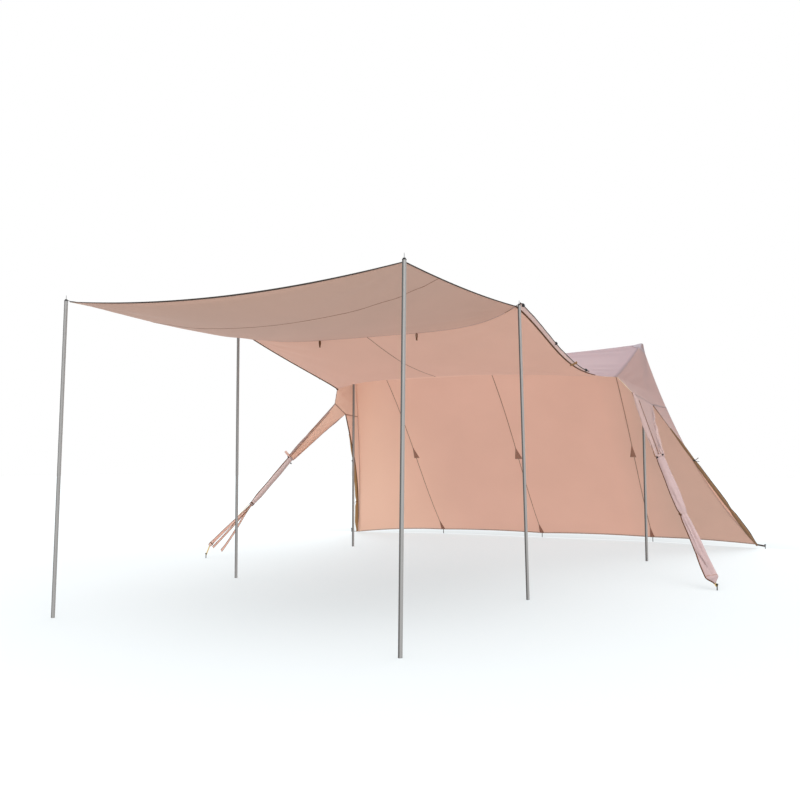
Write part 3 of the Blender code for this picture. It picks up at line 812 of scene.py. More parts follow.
def corner_folded(grid, depth, seed, phases, count, fold_depth, reach):
    """The grid with a slow unevenness and with fan folds at each of its corners."""
    height = depth * wander(*grid.shape[:2], seed=seed)
    for corner, phase in zip(((0, 0), (1, 0), (0, 1), (1, 1)), phases):
        height = height + fan_folds(grid, corner, count, fold_depth, reach, phase)
    return lifted(grid, height)


def settled(points):
    """Left far corner as it really stands: lower by the settling, which fades as the distance squared."""
    gap = np.linalg.norm(points - mirrored(FAR_CORNER, -1), axis=-1)
    drop = FAR_CORNER_SETTLE * np.clip(1 - gap / SETTLE_REACH, 0, 1) ** 2
    moved = points - drop[..., None] * np.array(UP)
    lowest = np.where(gap < SETTLE_REACH, FLOOR_CLEARANCE, -np.inf)
    moved[..., 2] = np.maximum(moved[..., 2], lowest)
    return moved


print("fold functions ready; the left far corner stands", FAR_CORNER_SETTLE, "m lower")

# %% [markdown]
# ## The edges that the panels share
#
# The awning's front edge is a shallow arc, its sides are cut hollow, the seam between the mid poles is
# drawn up sharply at each pole, and the valley runs low across the middle. The ridge sags a little
# between its poles.

# %% Shared edges
ACROSS = 97
DOWN = 65


def beside_peak(degrees):
    """Point on the cloth's edge around the ridge pole, at this bearing from +X."""
    angle = math.radians(degrees)
    x, y = RIDGE_POLE
    return np.array((x + PEAK_HOLE * math.cos(angle), y + PEAK_HOLE * math.sin(angle), RIDGE_Z))


def front_edge(s):
    """Front edge: set back and sagging by one minus s squared."""
    x, y, z = FRONT_CORNER
    arc = 1 - s ** 2
    return np.stack([x * s, y + FRONT_EDGE_CUT * arc, z - FRONT_EDGE_SAG * arc], axis=1)


def mid_line(s):
    """Seam between the mid poles: rises with a high power of s, so mostly near the poles."""
    x, y, z = MID_CORNER
    return np.stack([x * s, y + 0 * s, MID_LINE_Z + (z - MID_LINE_Z) * np.abs(s) ** MID_LINE_POWER], axis=1)


def valley_line(s):
    """Valley: from its low middle to the eave corners with a power of s."""
    x, y, z = EAVE_CORNER
    reach = np.abs(s) ** VALLEY_POWER
    depth = VALLEY_MIDDLE_Y + (y - VALLEY_MIDDLE_Y) * reach
    return np.stack([x * s, depth, VALLEY_Z + (z - VALLEY_Z) * reach], axis=1)


def ridge_line(s, end):
    """Ridge: sags by one minus s squared; the two outermost points may stand aside from the pole."""
    aside = np.where(np.abs(s) > 0.999, end[1], 0.0)
    return np.stack([end[0] * s, aside, RIDGE_Z - RIDGE_SAG * (1 - s ** 2)], axis=1)


def front_canopy_side(t):
    """Awning's side edge between the front and the mid pole."""
    cut = (-2 * SIDE_EDGE_CUT, 0, -2 * SIDE_EDGE_SAG)
    return bezier(t, FRONT_CORNER, middle(FRONT_CORNER, MID_CORNER, cut), MID_CORNER)


def rear_canopy_side(t):
    """Awning's side edge from the mid pole down to the eave corner."""
    return bezier(t, MID_CORNER, *REAR_SIDE_HANDLES, EAVE_CORNER)


def near_hip(t):
    """Seam from the peak to the eave corner."""
    start = beside_peak(NEAR_BEARING)
    return bezier(t, start, middle(start, EAVE_CORNER, (NEAR_HIP_BOW, 0, -NEAR_HIP_BOW)), EAVE_CORNER)


def far_hip(t):
    """Seam from the peak to the far corner, drawn inwards by its tension."""
    return bezier(t, beside_peak(FAR_BEARING), FAR_HIP_HANDLE, FAR_CORNER)


def wall_seam(t, top, foot):
    """Far wall's seam: straight, plus a sine that is a belly high up and a hollow low down."""
    bulge = WALL_BULGE * np.sin(math.pi * t) * (1 - WALL_BULGE_TILT * t)
    out = np.array((0, math.sqrt(0.5), math.sqrt(0.5)))
    return bezier(t, top, foot) + bulge[:, None] * out


def hem(u, start, end):
    """Wall's bottom edge between two stakes, lifted in the middle."""
    return bezier(u, start, middle(start, end, (0, 0, 2 * HEM_RISE)), end)


print("mid line is lowest at", MID_LINE_Z, "m and meets the poles at", MID_CORNER[2], "m")

# %% [markdown]
# ## The awning
#
# The front bay hangs in a shallow bowl between the front edge and the seam at the mid poles. The rear bay
# is the tent's own front wall, raised: it runs from that seam down to the valley. Both are one finely
# divided sheet each, with fan folds at the corners that are pulled and a slow unevenness, because no tarp
# is ever perfectly stretched.

# %% Awning cloths
s = np.linspace(-1, 1, ACROSS)
half_s = np.linspace(0, 1, ACROSS // 2 + 1)
v = np.linspace(0, 1, DOWN)

side_edge = front_canopy_side(v)
front_bay = stretched(front_edge(s), mid_line(s), mirrored(side_edge, -1), side_edge)
front_bay[..., 2] -= CANOPY_BELLY * (1 - s[:, None] ** 2) * np.sin(math.pi * v ** BELLY_POWER)
front_bay = corner_folded(front_bay, 0.007, 3, (0.3, 1.1, 2.0, 0.7), 9, 0.011, 0.55)

half_mid, half_valley = mid_line(half_s), valley_line(half_s)
rear_half = stretched(half_mid, half_valley, bezier(v, half_mid[0], half_valley[0]), rear_canopy_side(v))
rear_half[..., 2] -= REAR_CANOPY_BELLY * 4 * v * (1 - v) * (1 - half_s[:, None] ** 2)
rear_bay = both_halves(rear_half)
rear_bay = corner_folded(rear_bay, 0.008, 5, (0.9, 1.7, 2.6, 0.2), 8, 0.010, 0.6)

front_name = add_sheet("front_canopy_cloth", front_bay, [awning_cloth, underside_cloth], "cloth_awning",
                       "stretched", ["front_pole_left", "front_pole_right"], outwards=UP,
                       replaces=["front_canopy"]).name
rear_name = add_sheet("rear_canopy_cloth", rear_bay, [awning_cloth, raised_wall_cloth], "cloth_awning",
                      "stretched", ["mid_pole_left", "mid_pole_right"], outwards=UP,
                      replaces=["rear_canopy"]).name
print("awning bays sag", CANOPY_BELLY, "and", REAR_CANOPY_BELLY, "m")

# %% [markdown]
# ## The near roof slope
#
# Between the valley and the ridge the cloth is short and a little slack, so it ripples along the ridge.
# The ripples are a sine wave down the slope that wanders sideways and fades towards the ridge and the
# valley.

# %% Near roof
RIPPLE_ROWS = 5.5
RIPPLE_SLANT = 1.6
RIPPLE_DRIFT = 1.5
RIPPLE_HEIGHT = 0.0080
ROOF_UNEVENNESS = 0.014
peak = beside_peak(NEAR_BEARING)
roof_v = np.linspace(0, 1, 49)
hip_edge = near_hip(roof_v)[::-1]
near_roof = stretched(valley_line(s), ridge_line(s, peak), mirrored(hip_edge, -1), hip_edge)
near_roof[..., 2] -= NEAR_ROOF_BELLY * 4 * roof_v * (1 - roof_v) * (1 - s[:, None] ** 2)
drift = wander(*near_roof.shape[:2], seed=11, slow=1.2)
sideways = np.abs(s[:, None])
turns = RIPPLE_ROWS * roof_v[None, :] + RIPPLE_SLANT * sideways + RIPPLE_DRIFT * drift
ripples = np.sin(2 * math.pi * turns) * (1 - 0.6 * sideways ** 3)
near_roof = lifted(near_roof, RIPPLE_HEIGHT * ripples + ROOF_UNEVENNESS * drift)
BOTH_RIDGE_POLES = ["ridge_pole_left", "ridge_pole_right"]
roof_name = add_sheet("near_roof_cloth", near_roof, [outside_cloth, inside_cloth], "cloth_outer", "stretched",
                      BOTH_RIDGE_POLES, outwards=UP, replaces=["near_roof_slope"]).name
print("near roof ripples", RIPPLE_ROWS, "times,", RIPPLE_HEIGHT * 1000, "mm high")

# %% [markdown]
# ## The far wall
#
# The back of the shelter is one sheet from hip to hip, sewn from three panels. It is worked out panel by
# panel, because each seam has its own foot at a stake, and then joined into one grid. The wall is tight:
# it only wavers slowly, and folds a little around each stake.

# %% Far wall
t = np.linspace(0, 1, 73)
panel_u = np.linspace(0, 1, 37)
corner_peak = beside_peak(FAR_BEARING)
seam_share = SIDE_SEAM_TOP_X / corner_peak[0]
inner_ridge = ridge_line(panel_u * seam_share, corner_peak)
outer_ridge = ridge_line(1 + (panel_u - 1) * (1 - seam_share), corner_peak)
side_seam = wall_seam(t, inner_ridge[-1], SIDE_SEAM_FOOT)
inner_panel = stretched(inner_ridge, hem(panel_u, WALL_FOOT, SIDE_SEAM_FOOT),
                        wall_seam(t, inner_ridge[0], WALL_FOOT), side_seam)
outer_panel = stretched(outer_ridge, hem(panel_u, SIDE_SEAM_FOOT, FAR_CORNER), side_seam, far_hip(t))
outer_panel = uneven(outer_panel, 0.006, seed=21)
inner_panel = uneven(inner_panel, 0.008, seed=22)
far_wall = settled(both_halves(np.concatenate([inner_panel, outer_panel[1:]])))
wall_name = add_sheet("far_wall_cloth", far_wall, [outside_cloth, wall_inside_cloth], "cloth_outer",
                      "stretched", BOTH_RIDGE_POLES, outwards=(0, 1, 1),
                      replaces=["far_wall_middle", "far_wall_side_left", "far_wall_side_right"]).name
print("far wall of", far_wall.shape[:2], "points")

# %% [markdown]
# ## Gables
#
# Over each door the gable hangs from the peak, between the two hip seams, down to the door's apex. A
# narrow border carries on down beside the door to the far corner. The cloth is pulled hard at the eave
# corner, so folds fan out from there.

# %% Gables
gable_v = np.linspace(0, 1, 33)
lip_v = np.linspace(0, 1, 12)[1:]
near_edge = np.concatenate([near_hip(gable_v), bezier(lip_v, EAVE_CORNER, STRIP_TOP)])
far_edge = far_hip(np.linspace(0, APEX_ON_HIP, len(near_edge)))
half_u = np.linspace(0, 1, 17)
door_top = np.concatenate([bezier(half_u, STRIP_TOP, DOOR_APEX), bezier(half_u, DOOR_APEX, far_edge[-1])[1:]])
around_pole = np.array([beside_peak(d) for d in np.linspace(NEAR_BEARING, FAR_BEARING, len(door_top))])
gable = stretched(around_pole, door_top, near_edge, far_edge)
corner_fan = fan_folds(gable, (0, 1), 7, 0.010, 0.30, 0.4)
gable = lifted(gable, 0.004 * wander(*gable.shape[:2], seed=31) + corner_fan)

border_v = np.linspace(0, 1, 61)
border = stretched(bezier(half_u, DOOR_APEX, far_edge[-1]), bezier(half_u, DOOR_FAR_FOOT, FAR_CORNER),
                   bezier(border_v, DOOR_APEX, DOOR_FAR_FOOT),
                   far_hip(APEX_ON_HIP + (1 - APEX_ON_HIP) * border_v))
border = uneven(border, 0.003, seed=32)
DOOR_BOW = np.array((-0.055, 0.040, 0.0))
door_share = (1 - np.linspace(0, 1, border.shape[0]))[:, None] * np.sin(math.pi * border_v)[None, :]
borders = {"right": border, "left": settled(mirrored(border + door_share[..., None] * DOOR_BOW, -1))}

for label, side in SIDES.items():
    inner = inside_cloth if label == "right" else left_inside_cloth
    for name, panel, node in (("gable_head_cloth", mirrored(gable, side), "gable_head"),
                              ("gable_border_cloth", borders[label], "gable_far_border")):
        add_sheet(f"{name}_{label}", panel, [gable_cloth, inner], "cloth_outer", "stretched",
                  [f"ridge_pole_{label}"], outwards=(side, -0.4, 0.4), replaces=[f"{node}_{label}"],
                  flat_piece=name == "gable_border_cloth")
print("gables and borders hang over both doors")

# %% [markdown]
# ## Swept bands
#
# A binding is a flat ribbon folded over an edge, a felled seam is a slightly raised double band, a toggle
# is a short rod. All are one lens-shaped ring carried along a path, wide across the cloth and thin
# through it. A band that is sewn to a cloth is sampled from the cloth's own grid, so it follows every
# fold.


# %% Swept bands
SEAM_HALF_WIDTH = 0.004


def eased(t, *knots):
    """Value that goes smoothly from knot to knot; each knot is a place and a value."""
    places, values = np.array(knots, float).T
    k = np.clip(np.searchsorted(places, t, side="right") - 1, 0, len(places) - 2)
    x = np.clip((t - places[k]) / (places[k + 1] - places[k]), 0, 1)
    return values[k] + (values[k + 1] - values[k]) * smooth(x)


def evenly(points, count):
    """The path with evenly spaced points, read off against the distance travelled."""
    travelled = running_length(np.asarray(points, float), 0)
    even = np.linspace(0, travelled[-1], count)
    return np.stack([np.interp(even, travelled, np.asarray(points)[:, k]) for k in range(3)], axis=1)


def swept(path, facing, half_width, half_height, sides=10):
    """Ellipses about a path: half_width along the tangent crossed with facing, half_height along facing."""
    tangent = unit(np.gradient(path, axis=0))
    across = unit(np.cross(tangent, facing))
    lift = np.cross(across, tangent)
    angle = np.linspace(0, 2 * math.pi, sides, endpoint=False)
    wide = (np.cos(angle) * np.reshape(half_width, (-1, 1)))[..., None]
    high = (np.sin(angle) * np.reshape(half_height, (-1, 1)))[..., None]
    return path[:, None] + wide * across[:, None] + high * lift[:, None]


def add_band(name, path, facing, half_width, half_height, finish, slot="webbing", on=None, **more):
    """Piece that is one closed band along a path."""
    ring = swept(path, facing, half_width, half_height)
    return add_piece(name, ring, [finish], slot, ring=True, on=on, **more)


line = np.linspace(0, 1, 121)


def band_on(name, cloth, grid, a, b, finish, half_width, half_height=0.0018, slot="webbing", aside=0.0):
    """Band along a line over a cloth: a and b are shares of its grid, aside is how far off the cloth."""
    a, b = a + 0 * line, b + 0 * line
    path, facing = sample(grid, a, b), sample(surface_normals(grid), a, b)
    add_band(name, path + facing * aside, facing, half_width, half_height, finish, slot, cloth)


def two_faced_seam(name, cloth, grid, a, b, outer_side, outer_finish=outer_seam_tape):
    """Felled seam: a raised band of the cloth's colour outside, and inside a darker stitched tape, painted
    shade.
    """
    band_on(f"{name}_outer", cloth, grid, a, b, outer_finish, SEAM_HALF_WIDTH * 1.4, 0.0014, "cloth_outer",
            outer_side * 0.0012)
    band_on(f"{name}_inner", cloth, grid, a, b, seam_tape, SEAM_HALF_WIDTH, 0.0012, "cloth_outer",
            -outer_side * 0.0014)


def rod(name, start, end, radius, finish, slot, on=None):
    """Short rod with rounded ends: its radius follows the eighth power of the distance from its middle."""
    t = np.linspace(0, 1, 15)
    path = bezier(t, start, end)
    size = radius * np.sqrt(np.maximum(1 - np.abs(2 * t - 1) ** 8, 0.02))
    facing = np.cross(unit(path[-1] - path[0]), (0.31, 0.52, 0.79))
    add_band(name, path, facing, size, size, finish, slot, on)


def face_up(grid):
    """One where the grid's normals mostly point up, minus one where they point down."""
    return float(np.sign(surface_normals(grid)[..., 2].mean()))


print("bands ready, sampled at", len(line), "points")

# %% [markdown]
# ## Bindings and seams
#
# On the real tarp every cut edge is bound with tape, and every join between panels is felled: a pale band
# outside, and inside a stitched band painted dark, as painted shade where the doubled cloth lets less
# light through. They could be painted on, but a band of its own catches the light at its rim. Each one is
# written as a line over a cloth, by its share of the way along the grid and its share across.

# %% Bindings and seams
BOUND_SHARE = 0.84
TUCK = (0.012, 0.022)
band_on("front_edge_binding", front_name, front_bay, line, 0, dark_tape, 0.007, 0.0022)
two_faced_seam("front_bay_seam", front_name, front_bay, line, 0.25, face_up(front_bay))
band_on("mid_line_seam", front_name, front_bay, line, 1, outer_seam_tape, 0.003, slot="cloth_awning")
two_faced_seam("rear_bay_seam", rear_name, rear_bay, 0.5, line, face_up(rear_bay))
band_on("front_bay_binding_right", front_name, front_bay, 1, line, dark_tape, 0.006, 0.0020)
band_on("front_bay_binding_left", front_name, front_bay, 0, line, pale_tape, 0.007, 0.0024, "webbing_pale")
band_on("rear_bay_binding_right", rear_name, rear_bay, 1, BOUND_SHARE * line, dark_brown_tape, 0.008, 0.0026)
band_on("rear_bay_binding_left", rear_name, rear_bay, 0, line, dark_brown_tape, 0.011, 0.0115)
for label, places in (("left", TUCK[0] + TUCK[1] * line), ("right", 1 - TUCK[0] - TUCK[1] * line)):
    band_on(f"mid_corner_tuck_{label}", front_name, front_bay, places, 0.997, brown_tape, 0.006, 0.003)
band_on("ridge_seam", roof_name, near_roof, np.linspace(0.02, 0.98, 121), 1, outer_seam_tape, 0.007,
        slot="cloth_outer")
wall_columns = {"left": 1 / 4, "middle": 1 / 2, "right": 3 / 4}
for name, share in wall_columns.items():
    two_faced_seam(f"far_wall_seam_{name}", wall_name, far_wall, share, line, face_up(far_wall))
# The hem takes the same seam tape, painted shade of the doubled cloth.
band_on("far_wall_hem", wall_name, far_wall, line, 1, seam_tape, 0.010, slot="cloth_outer")
print("seams sewn on the awning, the roof and the wall")

# %% [markdown]
# ## Gable bindings
#
# Both gables have the same bands: a seam down the near hip, a binding along the eave's lip, one down the
# door's far edge, a seam down the far hip and one over the door. Written out twice they would be easy to
# get wrong, so a table gives each band its cloth, its line and its tape, and a loop sews it on the left
# and on the right.

# %% Gable bindings
for label, side in SIDES.items():
    eave_tape = pale_tape if label == "right" else brown_tape
    head, head_grid = f"gable_head_cloth_{label}", mirrored(gable, side)
    edge, edge_grid = f"gable_border_cloth_{label}", borders[label]
    for name, cloth, grid, a, b, finish, half_width, slot in (
            ("near_hip_seam", head, head_grid, 0, line * 0.75, gable_cloth, 0.004, "cloth_outer"),
            ("eave_binding", head, head_grid, 0, 0.755 + line * 0.245, eave_tape, 0.005, "webbing"),
            ("door_far_binding", edge, edge_grid, 0, line, dark_brown_tape, 0.013, "webbing"),
            ("far_hip_seam", edge, edge_grid, 1, line, outer_seam_tape, 0.004, "cloth_outer")):
        band_on(f"{name}_{label}", cloth, grid, a, b, finish, half_width, slot=slot)
    outwards = float(np.sign((surface_normals(head_grid)[..., 0] * side).mean()))
    two_faced_seam(f"door_head_seam_{label}", head, head_grid, line, 0.998, outwards, gable_cloth)
print("bands sewn along every gable's edges")

# %% [markdown]
# ## The corner strips
#
# Below the gable the near corner's cloth narrows to a gather, where toggles hold the rolled half-door.
# Pleats could be left to a cloth simulation, but they would fall differently on each side. The strip is
# a stretched grid whose pleats deepen towards the gather: sine waves across it, scaled by how far down
# it is.

# %% Corner strips
PLEATS = 3.5
PLEAT_DEPTH = 0.011
EDGE_PLEATS = 11
EDGE_PLEAT_DEPTH = 0.006


def square_to(vector, along):
    """The part of the vector that stands square to the direction along, at length one."""
    return unit(vector - along * np.dot(vector, along))


def near_roll_path(t):
    """Middle line of the near roll: through its tie halfway down."""
    halfway = 2 * np.array(NEAR_ROLL_TIE) - middle(GATHER, NEAR_ROLL_FOOT)
    return bezier(t, GATHER, halfway, NEAR_ROLL_FOOT)


def corner_strip(slant):
    """Strip for a gather that lies along the slant: its grid, both its edges and the gather's direction."""
    run = near_roll_path(np.array([0.0, 1 / 12]))
    gather_across = square_to(np.array(slant), unit(run[1] - run[0]))
    near_end = GATHER - gather_across * GATHER_WIDTH / 2
    far_end = GATHER + gather_across * GATHER_WIDTH / 2
    outer = bezier(strip_t, STRIP_TOP, near_end)
    inner = bezier(strip_t, DOOR_APEX, middle(DOOR_APEX, far_end, STRIP_BOW), far_end)
    grid = stretched(bezier(strip_u, STRIP_TOP, DOOR_APEX), bezier(strip_u, near_end, far_end), outer, inner)
    pleats = np.sin(2 * math.pi * (PLEATS * strip_u[:, None] + 0.25 * np.sin(5 * strip_t[None, :])))
    edge_pleats = np.sin(2 * math.pi * EDGE_PLEATS * strip_u[:, None]) * np.abs(2 * strip_u[:, None] - 1) ** 2
    depth = PLEAT_DEPTH * strip_t[None, :] ** 1.3 * (1.05 - strip_t[None, :] ** 8)
    edge_depth = EDGE_PLEAT_DEPTH * np.sin(math.pi * np.minimum(1, strip_t * 1.15))[None, :]
    fade = np.minimum(1, np.linspace(0, 8, len(strip_t)))[None, :]
    height = (pleats * depth + edge_pleats * edge_depth) * fade
    return grid + surface_normals(grid) * height[..., None], outer, inner, gather_across


strip_t = np.linspace(0, 1, 57)
strip_u = np.linspace(0, 1, 81)
strips = {label: corner_strip(slant) for label, slant in GATHER_SLANT.items()}
gather_across = strips["right"][3]
left_across = strips["left"][3]
print("gather", GATHER_WIDTH, "m wide, with", PLEATS, "pleats")

# %% [markdown]
# ## Folded edges of the corner strips
#
# The strip's outer edge is folded over once, and crumpled cloth from the door's head bunches along the
# inner edge. A simulation could crumple both, but a flattened tube with drawn waves looks as soft and
# stays where it belongs. Where the fold lies down on the strip, a band of dark tape is painted shade in
# the groove.

# %% Folded edges
FOLD_HALF_WIDTH = 0.026
EDGE_POINTS = 97


def set_along(path, across, x, y):
    """Sections along a path: x lies along the direction across, y square to it and to the path."""
    tangent = unit(np.gradient(path, axis=0))
    first = unit(across - tangent * (tangent * across).sum(axis=1, keepdims=True))
    second = np.cross(tangent, first)
    return path[:, None] + first[:, None] * x[..., None] + second[:, None] * y[..., None]


def soft_tube(path, across, half_width, flatness, seed, ruffle):
    """Closed flattened tube of bunched cloth: an ellipse along a path, ruffled by drawn waves both ways."""
    angle = np.linspace(0, 2 * math.pi, 36, endpoint=False)[None, :]
    draw = np.random.default_rng(seed)
    t = np.linspace(0, 1, len(path))[:, None]
    waves = sum(np.sin(draw.integers(1, 5) * angle + draw.uniform(-26, 26) * t + draw.uniform(0, 6.28))
                for _ in range(9)) / 3
    size = np.reshape(half_width, (-1, 1)) * (1 + ruffle * waves)
    return set_along(path, across, size * np.cos(angle), size * np.sin(angle) * flatness)


swell = eased(np.linspace(0, 1, EDGE_POINTS), (0, 0.35), (0.12, 0.8), (0.55, 1.0), (0.93, 0.80), (1, 0.5))
for label, side in SIDES.items():
    strip, strip_outer, strip_inner, across = strips[label]
    panel = mirrored(strip, side)
    inner = strip_inside if label == "right" else left_inside_cloth
    cloth = add_sheet(f"near_corner_cloth_{label}", panel, [gable_cloth, inner], "cloth_outer", "gathered",
                      [f"gable_head_cloth_{label}"], outwards=(side, -1, 0.3),
                      replaces=[f"near_corner_strip_{label}"]).name
    fullness = 1.0 if label == "right" else 0.5
    for name, edge, reach, width, flatness, ruffle, seed in (
            ("corner_fold", strip_outer, 0.55, FOLD_HALF_WIDTH, 0.38, 0.16, 61),
            ("corner_bunch", strip_inner, -0.60, FOLD_HALF_WIDTH * 0.75, 0.66, 0.42, 62)):
        path = evenly(edge, EDGE_POINTS) + across * width * reach * fullness
        tube = soft_tube(path, across, width * fullness * swell, flatness, seed, ruffle)
        add_piece(f"{name}_{label}", mirrored(tube, side), [fold_cloth], "cloth_roll", ring=True, on=cloth)
    # Painted shade: a band of dark tape lies in the groove where the fold meets the strip, standing for the
    # shade there.
    groove = evenly(strip_outer, EDGE_POINTS)[14:] + across * FOLD_HALF_WIDTH * 1.70 * fullness
    towards = np.cross(across, unit(groove[-1] - groove[0]))
    towards = towards * -np.sign(towards[1])
    groove_shade_band = mirrored(swept(groove + towards * 0.010, towards, 0.0032, 0.002), side)
    add_piece(f"corner_groove_shade_{label}", groove_shade_band, [dark_brown_tape], "webbing", ring=True, on=cloth)
    band_on(f"corner_binding_{label}", cloth, panel, 0, line, brown_tape, 0.005)
print("folds", 2 * FOLD_HALF_WIDTH * 1000, "mm wide along both strips")

# %% [markdown]
# ## Rolled cloth
#
# A rolled door is one sheet wound up: seen end on it is a spiral. The grid's first direction follows the
# roll and its second follows the spiral, whose radius grows evenly with the angle. The whole section is
# flattened a little, drawn in at the ties, ruffled by a few slow waves and pressed in along a few
# creases. A modifier could bend a plane into a spiral, but a grid lets its radius change all along.

# %% Roll sections
ROLL_CORE = 0.35
POINTS_PER_TURN = 40


def pressed(t, angle, creases):
    """How far creases press a roll in: each a bell across its angle times a half sine along its run."""
    depth = 0 * t * angle
    for begin, end, angle_begin, angle_end, deep, width in creases:
        along = np.clip((t - begin) / (end - begin), 0, 1)
        away = angle - (angle_begin + (angle_end - angle_begin) * along)
        away = (away + math.pi) % (2 * math.pi) - math.pi
        depth = depth + deep * np.sin(math.pi * along) ** 0.7 * np.exp(-(away / width) ** 2)
    return depth


def rolled(path, across, radius, turns, flatness, seed, ruffle, start=0.0, creases=()):
    """Spiral sections along a path: the radius grows from the core with the angle, squashed by flatness."""
    rows, steps = len(path), int(POINTS_PER_TURN * turns)
    share = np.linspace(0, 1, steps)[None, :]
    angle = start + 2 * math.pi * turns * share
    waves = wander(rows, steps, seed, waves=9, slow=3.2)
    wound = np.reshape(radius, (-1, 1)) * (ROLL_CORE + (1 - ROLL_CORE) * share)
    size = wound * (1 + ruffle * waves * (0.3 + 0.7 * share))
    size = size * (1 - pressed(np.linspace(0, 1, rows)[:, None], angle, creases))
    return set_along(path, across, size * np.cos(angle), size * np.sin(angle) * np.reshape(flatness, (-1, 1)))


def folded_ribbon(path, across, half_width, cup, seed):
    """Ribbon folded to a trough: its depth goes with the distance from the middle, plus drawn waves."""
    q = np.linspace(-1, 1, 13)[None, :]
    half_width = np.reshape(half_width, (-1, 1))
    depth = half_width * (cup * np.abs(q) + 0.45 * wander(len(path), q.size, seed, slow=1.6))
    return set_along(path, across, half_width * q, depth)


print("a roll's section has", POINTS_PER_TURN, "points in each turn")

# %% [markdown]
# ## The right near roll
#
# On the right the near half-door is rolled up, tied at half its height and pegged at its foot, where it
# opens flat and is drawn together again. It could be a plain tapered tube, but the photo's long dark
# creases make it cloth. So the radius and the flatness ease from place to place, and six creases are
# pressed in.

# %% Right near roll
TOE = np.array((2.922, -2.016, 0.058))
ROLL_THICKNESS = 0.0018
TIE_SHARE = 0.49
RIM_SHARE = 0.950
roll_t = np.linspace(0, 1, 141)
whole_path = evenly(np.concatenate([near_roll_path(np.linspace(0, 1, 60)), [TOE]]), len(roll_t))
right_radius = eased(roll_t, (0, 0.043), (0.07, 0.050), (0.30, 0.055), (0.44, 0.050), (TIE_SHARE, 0.039),
                     (0.55, 0.050), (0.76, 0.056), (0.90, 0.064), (0.955, 0.066), (1, 0.010))
right_creases = [(0.04, 0.46, 1.45, 1.20, 0.26, 0.36), (0.28, 0.49, 2.35, 2.05, 0.24, 0.26),
                 (0.48, 0.92, 1.85, 1.15, 0.52, 0.26), (0.50, 0.76, 2.55, 2.20, 0.34, 0.24),
                 (0.78, 0.96, 2.60, 1.45, 0.56, 0.24), (0.82, 0.97, 0.75, 1.65, 0.50, 0.24)]
right_flat = eased(roll_t, (0, 0.75), (0.3, 0.80), (0.7, 0.70), (0.92, 0.34), (1, 0.30))
roll = rolled(whole_path, gather_across, right_radius, 2.3, right_flat, seed=41, ruffle=0.20, start=0.95,
              creases=right_creases)
roll_right = add_sheet("near_roll_cloth_right", roll, [roll_cloth, inside_cloth], "cloth_roll", "folded",
                       ["near_corner_cloth_right"], ROLL_THICKNESS, replaces=["near_door_roll_right"]).name
band_on("near_roll_binding_right", roll_right, roll, line, 1, dark_brown_tape, 0.006, 0.0026)
band_on("near_roll_rim_right", roll_right, roll, RIM_SHARE, 0.30 + 0.70 * line, rim_tape, 0.005)

print("right roll", round(2 * float(right_radius.max()) * 1000), "mm across at its widest")

# %% [markdown]
# ## The left near roll
#
# The left roll is thinner and ends at its tie. It could be the right one turned over, but the photo shows
# it loose below the tie. So only its upper half is wound, from the same path.

# %% Left near roll
upper = roll_t <= TIE_SHARE + 0.02
left_radius = eased(roll_t, (0, 0.034), (0.10, 0.037), (0.40, 0.037), (TIE_SHARE, 0.028), (1, 0.020))
upper_path = evenly(whole_path[upper], 81)
upper_rows = np.linspace(0, upper.sum() - 1, 81).astype(int)
upper_roll = mirrored(rolled(upper_path, left_across, left_radius[upper][upper_rows], 2.0, 1.05, seed=44,
                             ruffle=0.12, start=2.2), -1)
roll_left = add_sheet("near_roll_cloth_left", upper_roll, [left_roll_cloth, inside_cloth], "cloth_roll",
                      "folded", ["near_corner_cloth_left"], ROLL_THICKNESS,
                      replaces=["near_door_roll_left"]).name
band_on("near_roll_binding_left", roll_left, upper_roll, line, 1, dark_brown_tape, 0.005, 0.0022)
print("left roll wound over", int(upper.sum()), "of", len(roll_t), "rows")

# %% [markdown]
# ## Loose strands
#
# Below the tie the left half-door hangs in three folded strands, which are knotted near the peg. They
# could be tubes, but cloth that is folded once has two thin edges that catch the light. Each strand is a
# ribbon folded to a trough along a curve that bows aside.

# %% Loose strands
STRAND_SPREAD = np.array((0.626, -0.416, 0.660))
lower_start = whole_path[upper][-4]
lower_run = unit(TOE - lower_start)
upper_end = TOE - 0.090 * lower_run + 0.050 * STRAND_SPREAD
loose_end = TOE - 0.125 * lower_run - 0.100 * STRAND_SPREAD
strands = {
    "upper": (upper_end, 0.008 * STRAND_SPREAD, (0.012, 0.016, 0.018), 0.7, 51),
    "loose": (loose_end, -0.020 * STRAND_SPREAD, (0.009, 0.010, 0.013), 0.6, 52),
    "turned": (upper_end - 0.045 * STRAND_SPREAD, -0.010 * STRAND_SPREAD, (0.009, 0.010, 0.012), 0.5, 53),
}
strand_t = np.linspace(0, 1, 61)
for name, (end, bow, widths, cup, seed) in strands.items():
    path = bezier(strand_t, lower_start, lower_start + lower_run * 0.20, middle(lower_start, end, 1.7 * bow),
                  end + bow * 0.3, end)
    width = eased(strand_t, (0, widths[0]), (0.7, widths[1]), (1, widths[2]))
    ribbon = mirrored(folded_ribbon(path, STRAND_SPREAD, width, cup, seed), -1)
    piece = add_sheet(f"near_roll_strand_{name}_left", ribbon, [strand_cloth, strand_cloth], "cloth_roll",
                      "folded", [roll_left], outwards=(-1, -1, 0.5)).name
    for edge in (0, 1):
        band_on(f"strand_binding_{name}_{edge}", piece, ribbon, line, edge, brown_tape, 0.003)
knot = mirrored(upper_end, -1)
knot_run = mirrored(lower_run, -1)
rod("strand_knot_left", knot - knot_run * 0.060, knot + knot_run * 0.015, 0.022, strand_cloth, "cloth_roll",
    roll_left)
rod("strand_tape_left", knot - knot_run * 0.030, knot - knot_run * 0.018, 0.024, dark_brown_tape, "webbing",
    roll_left)
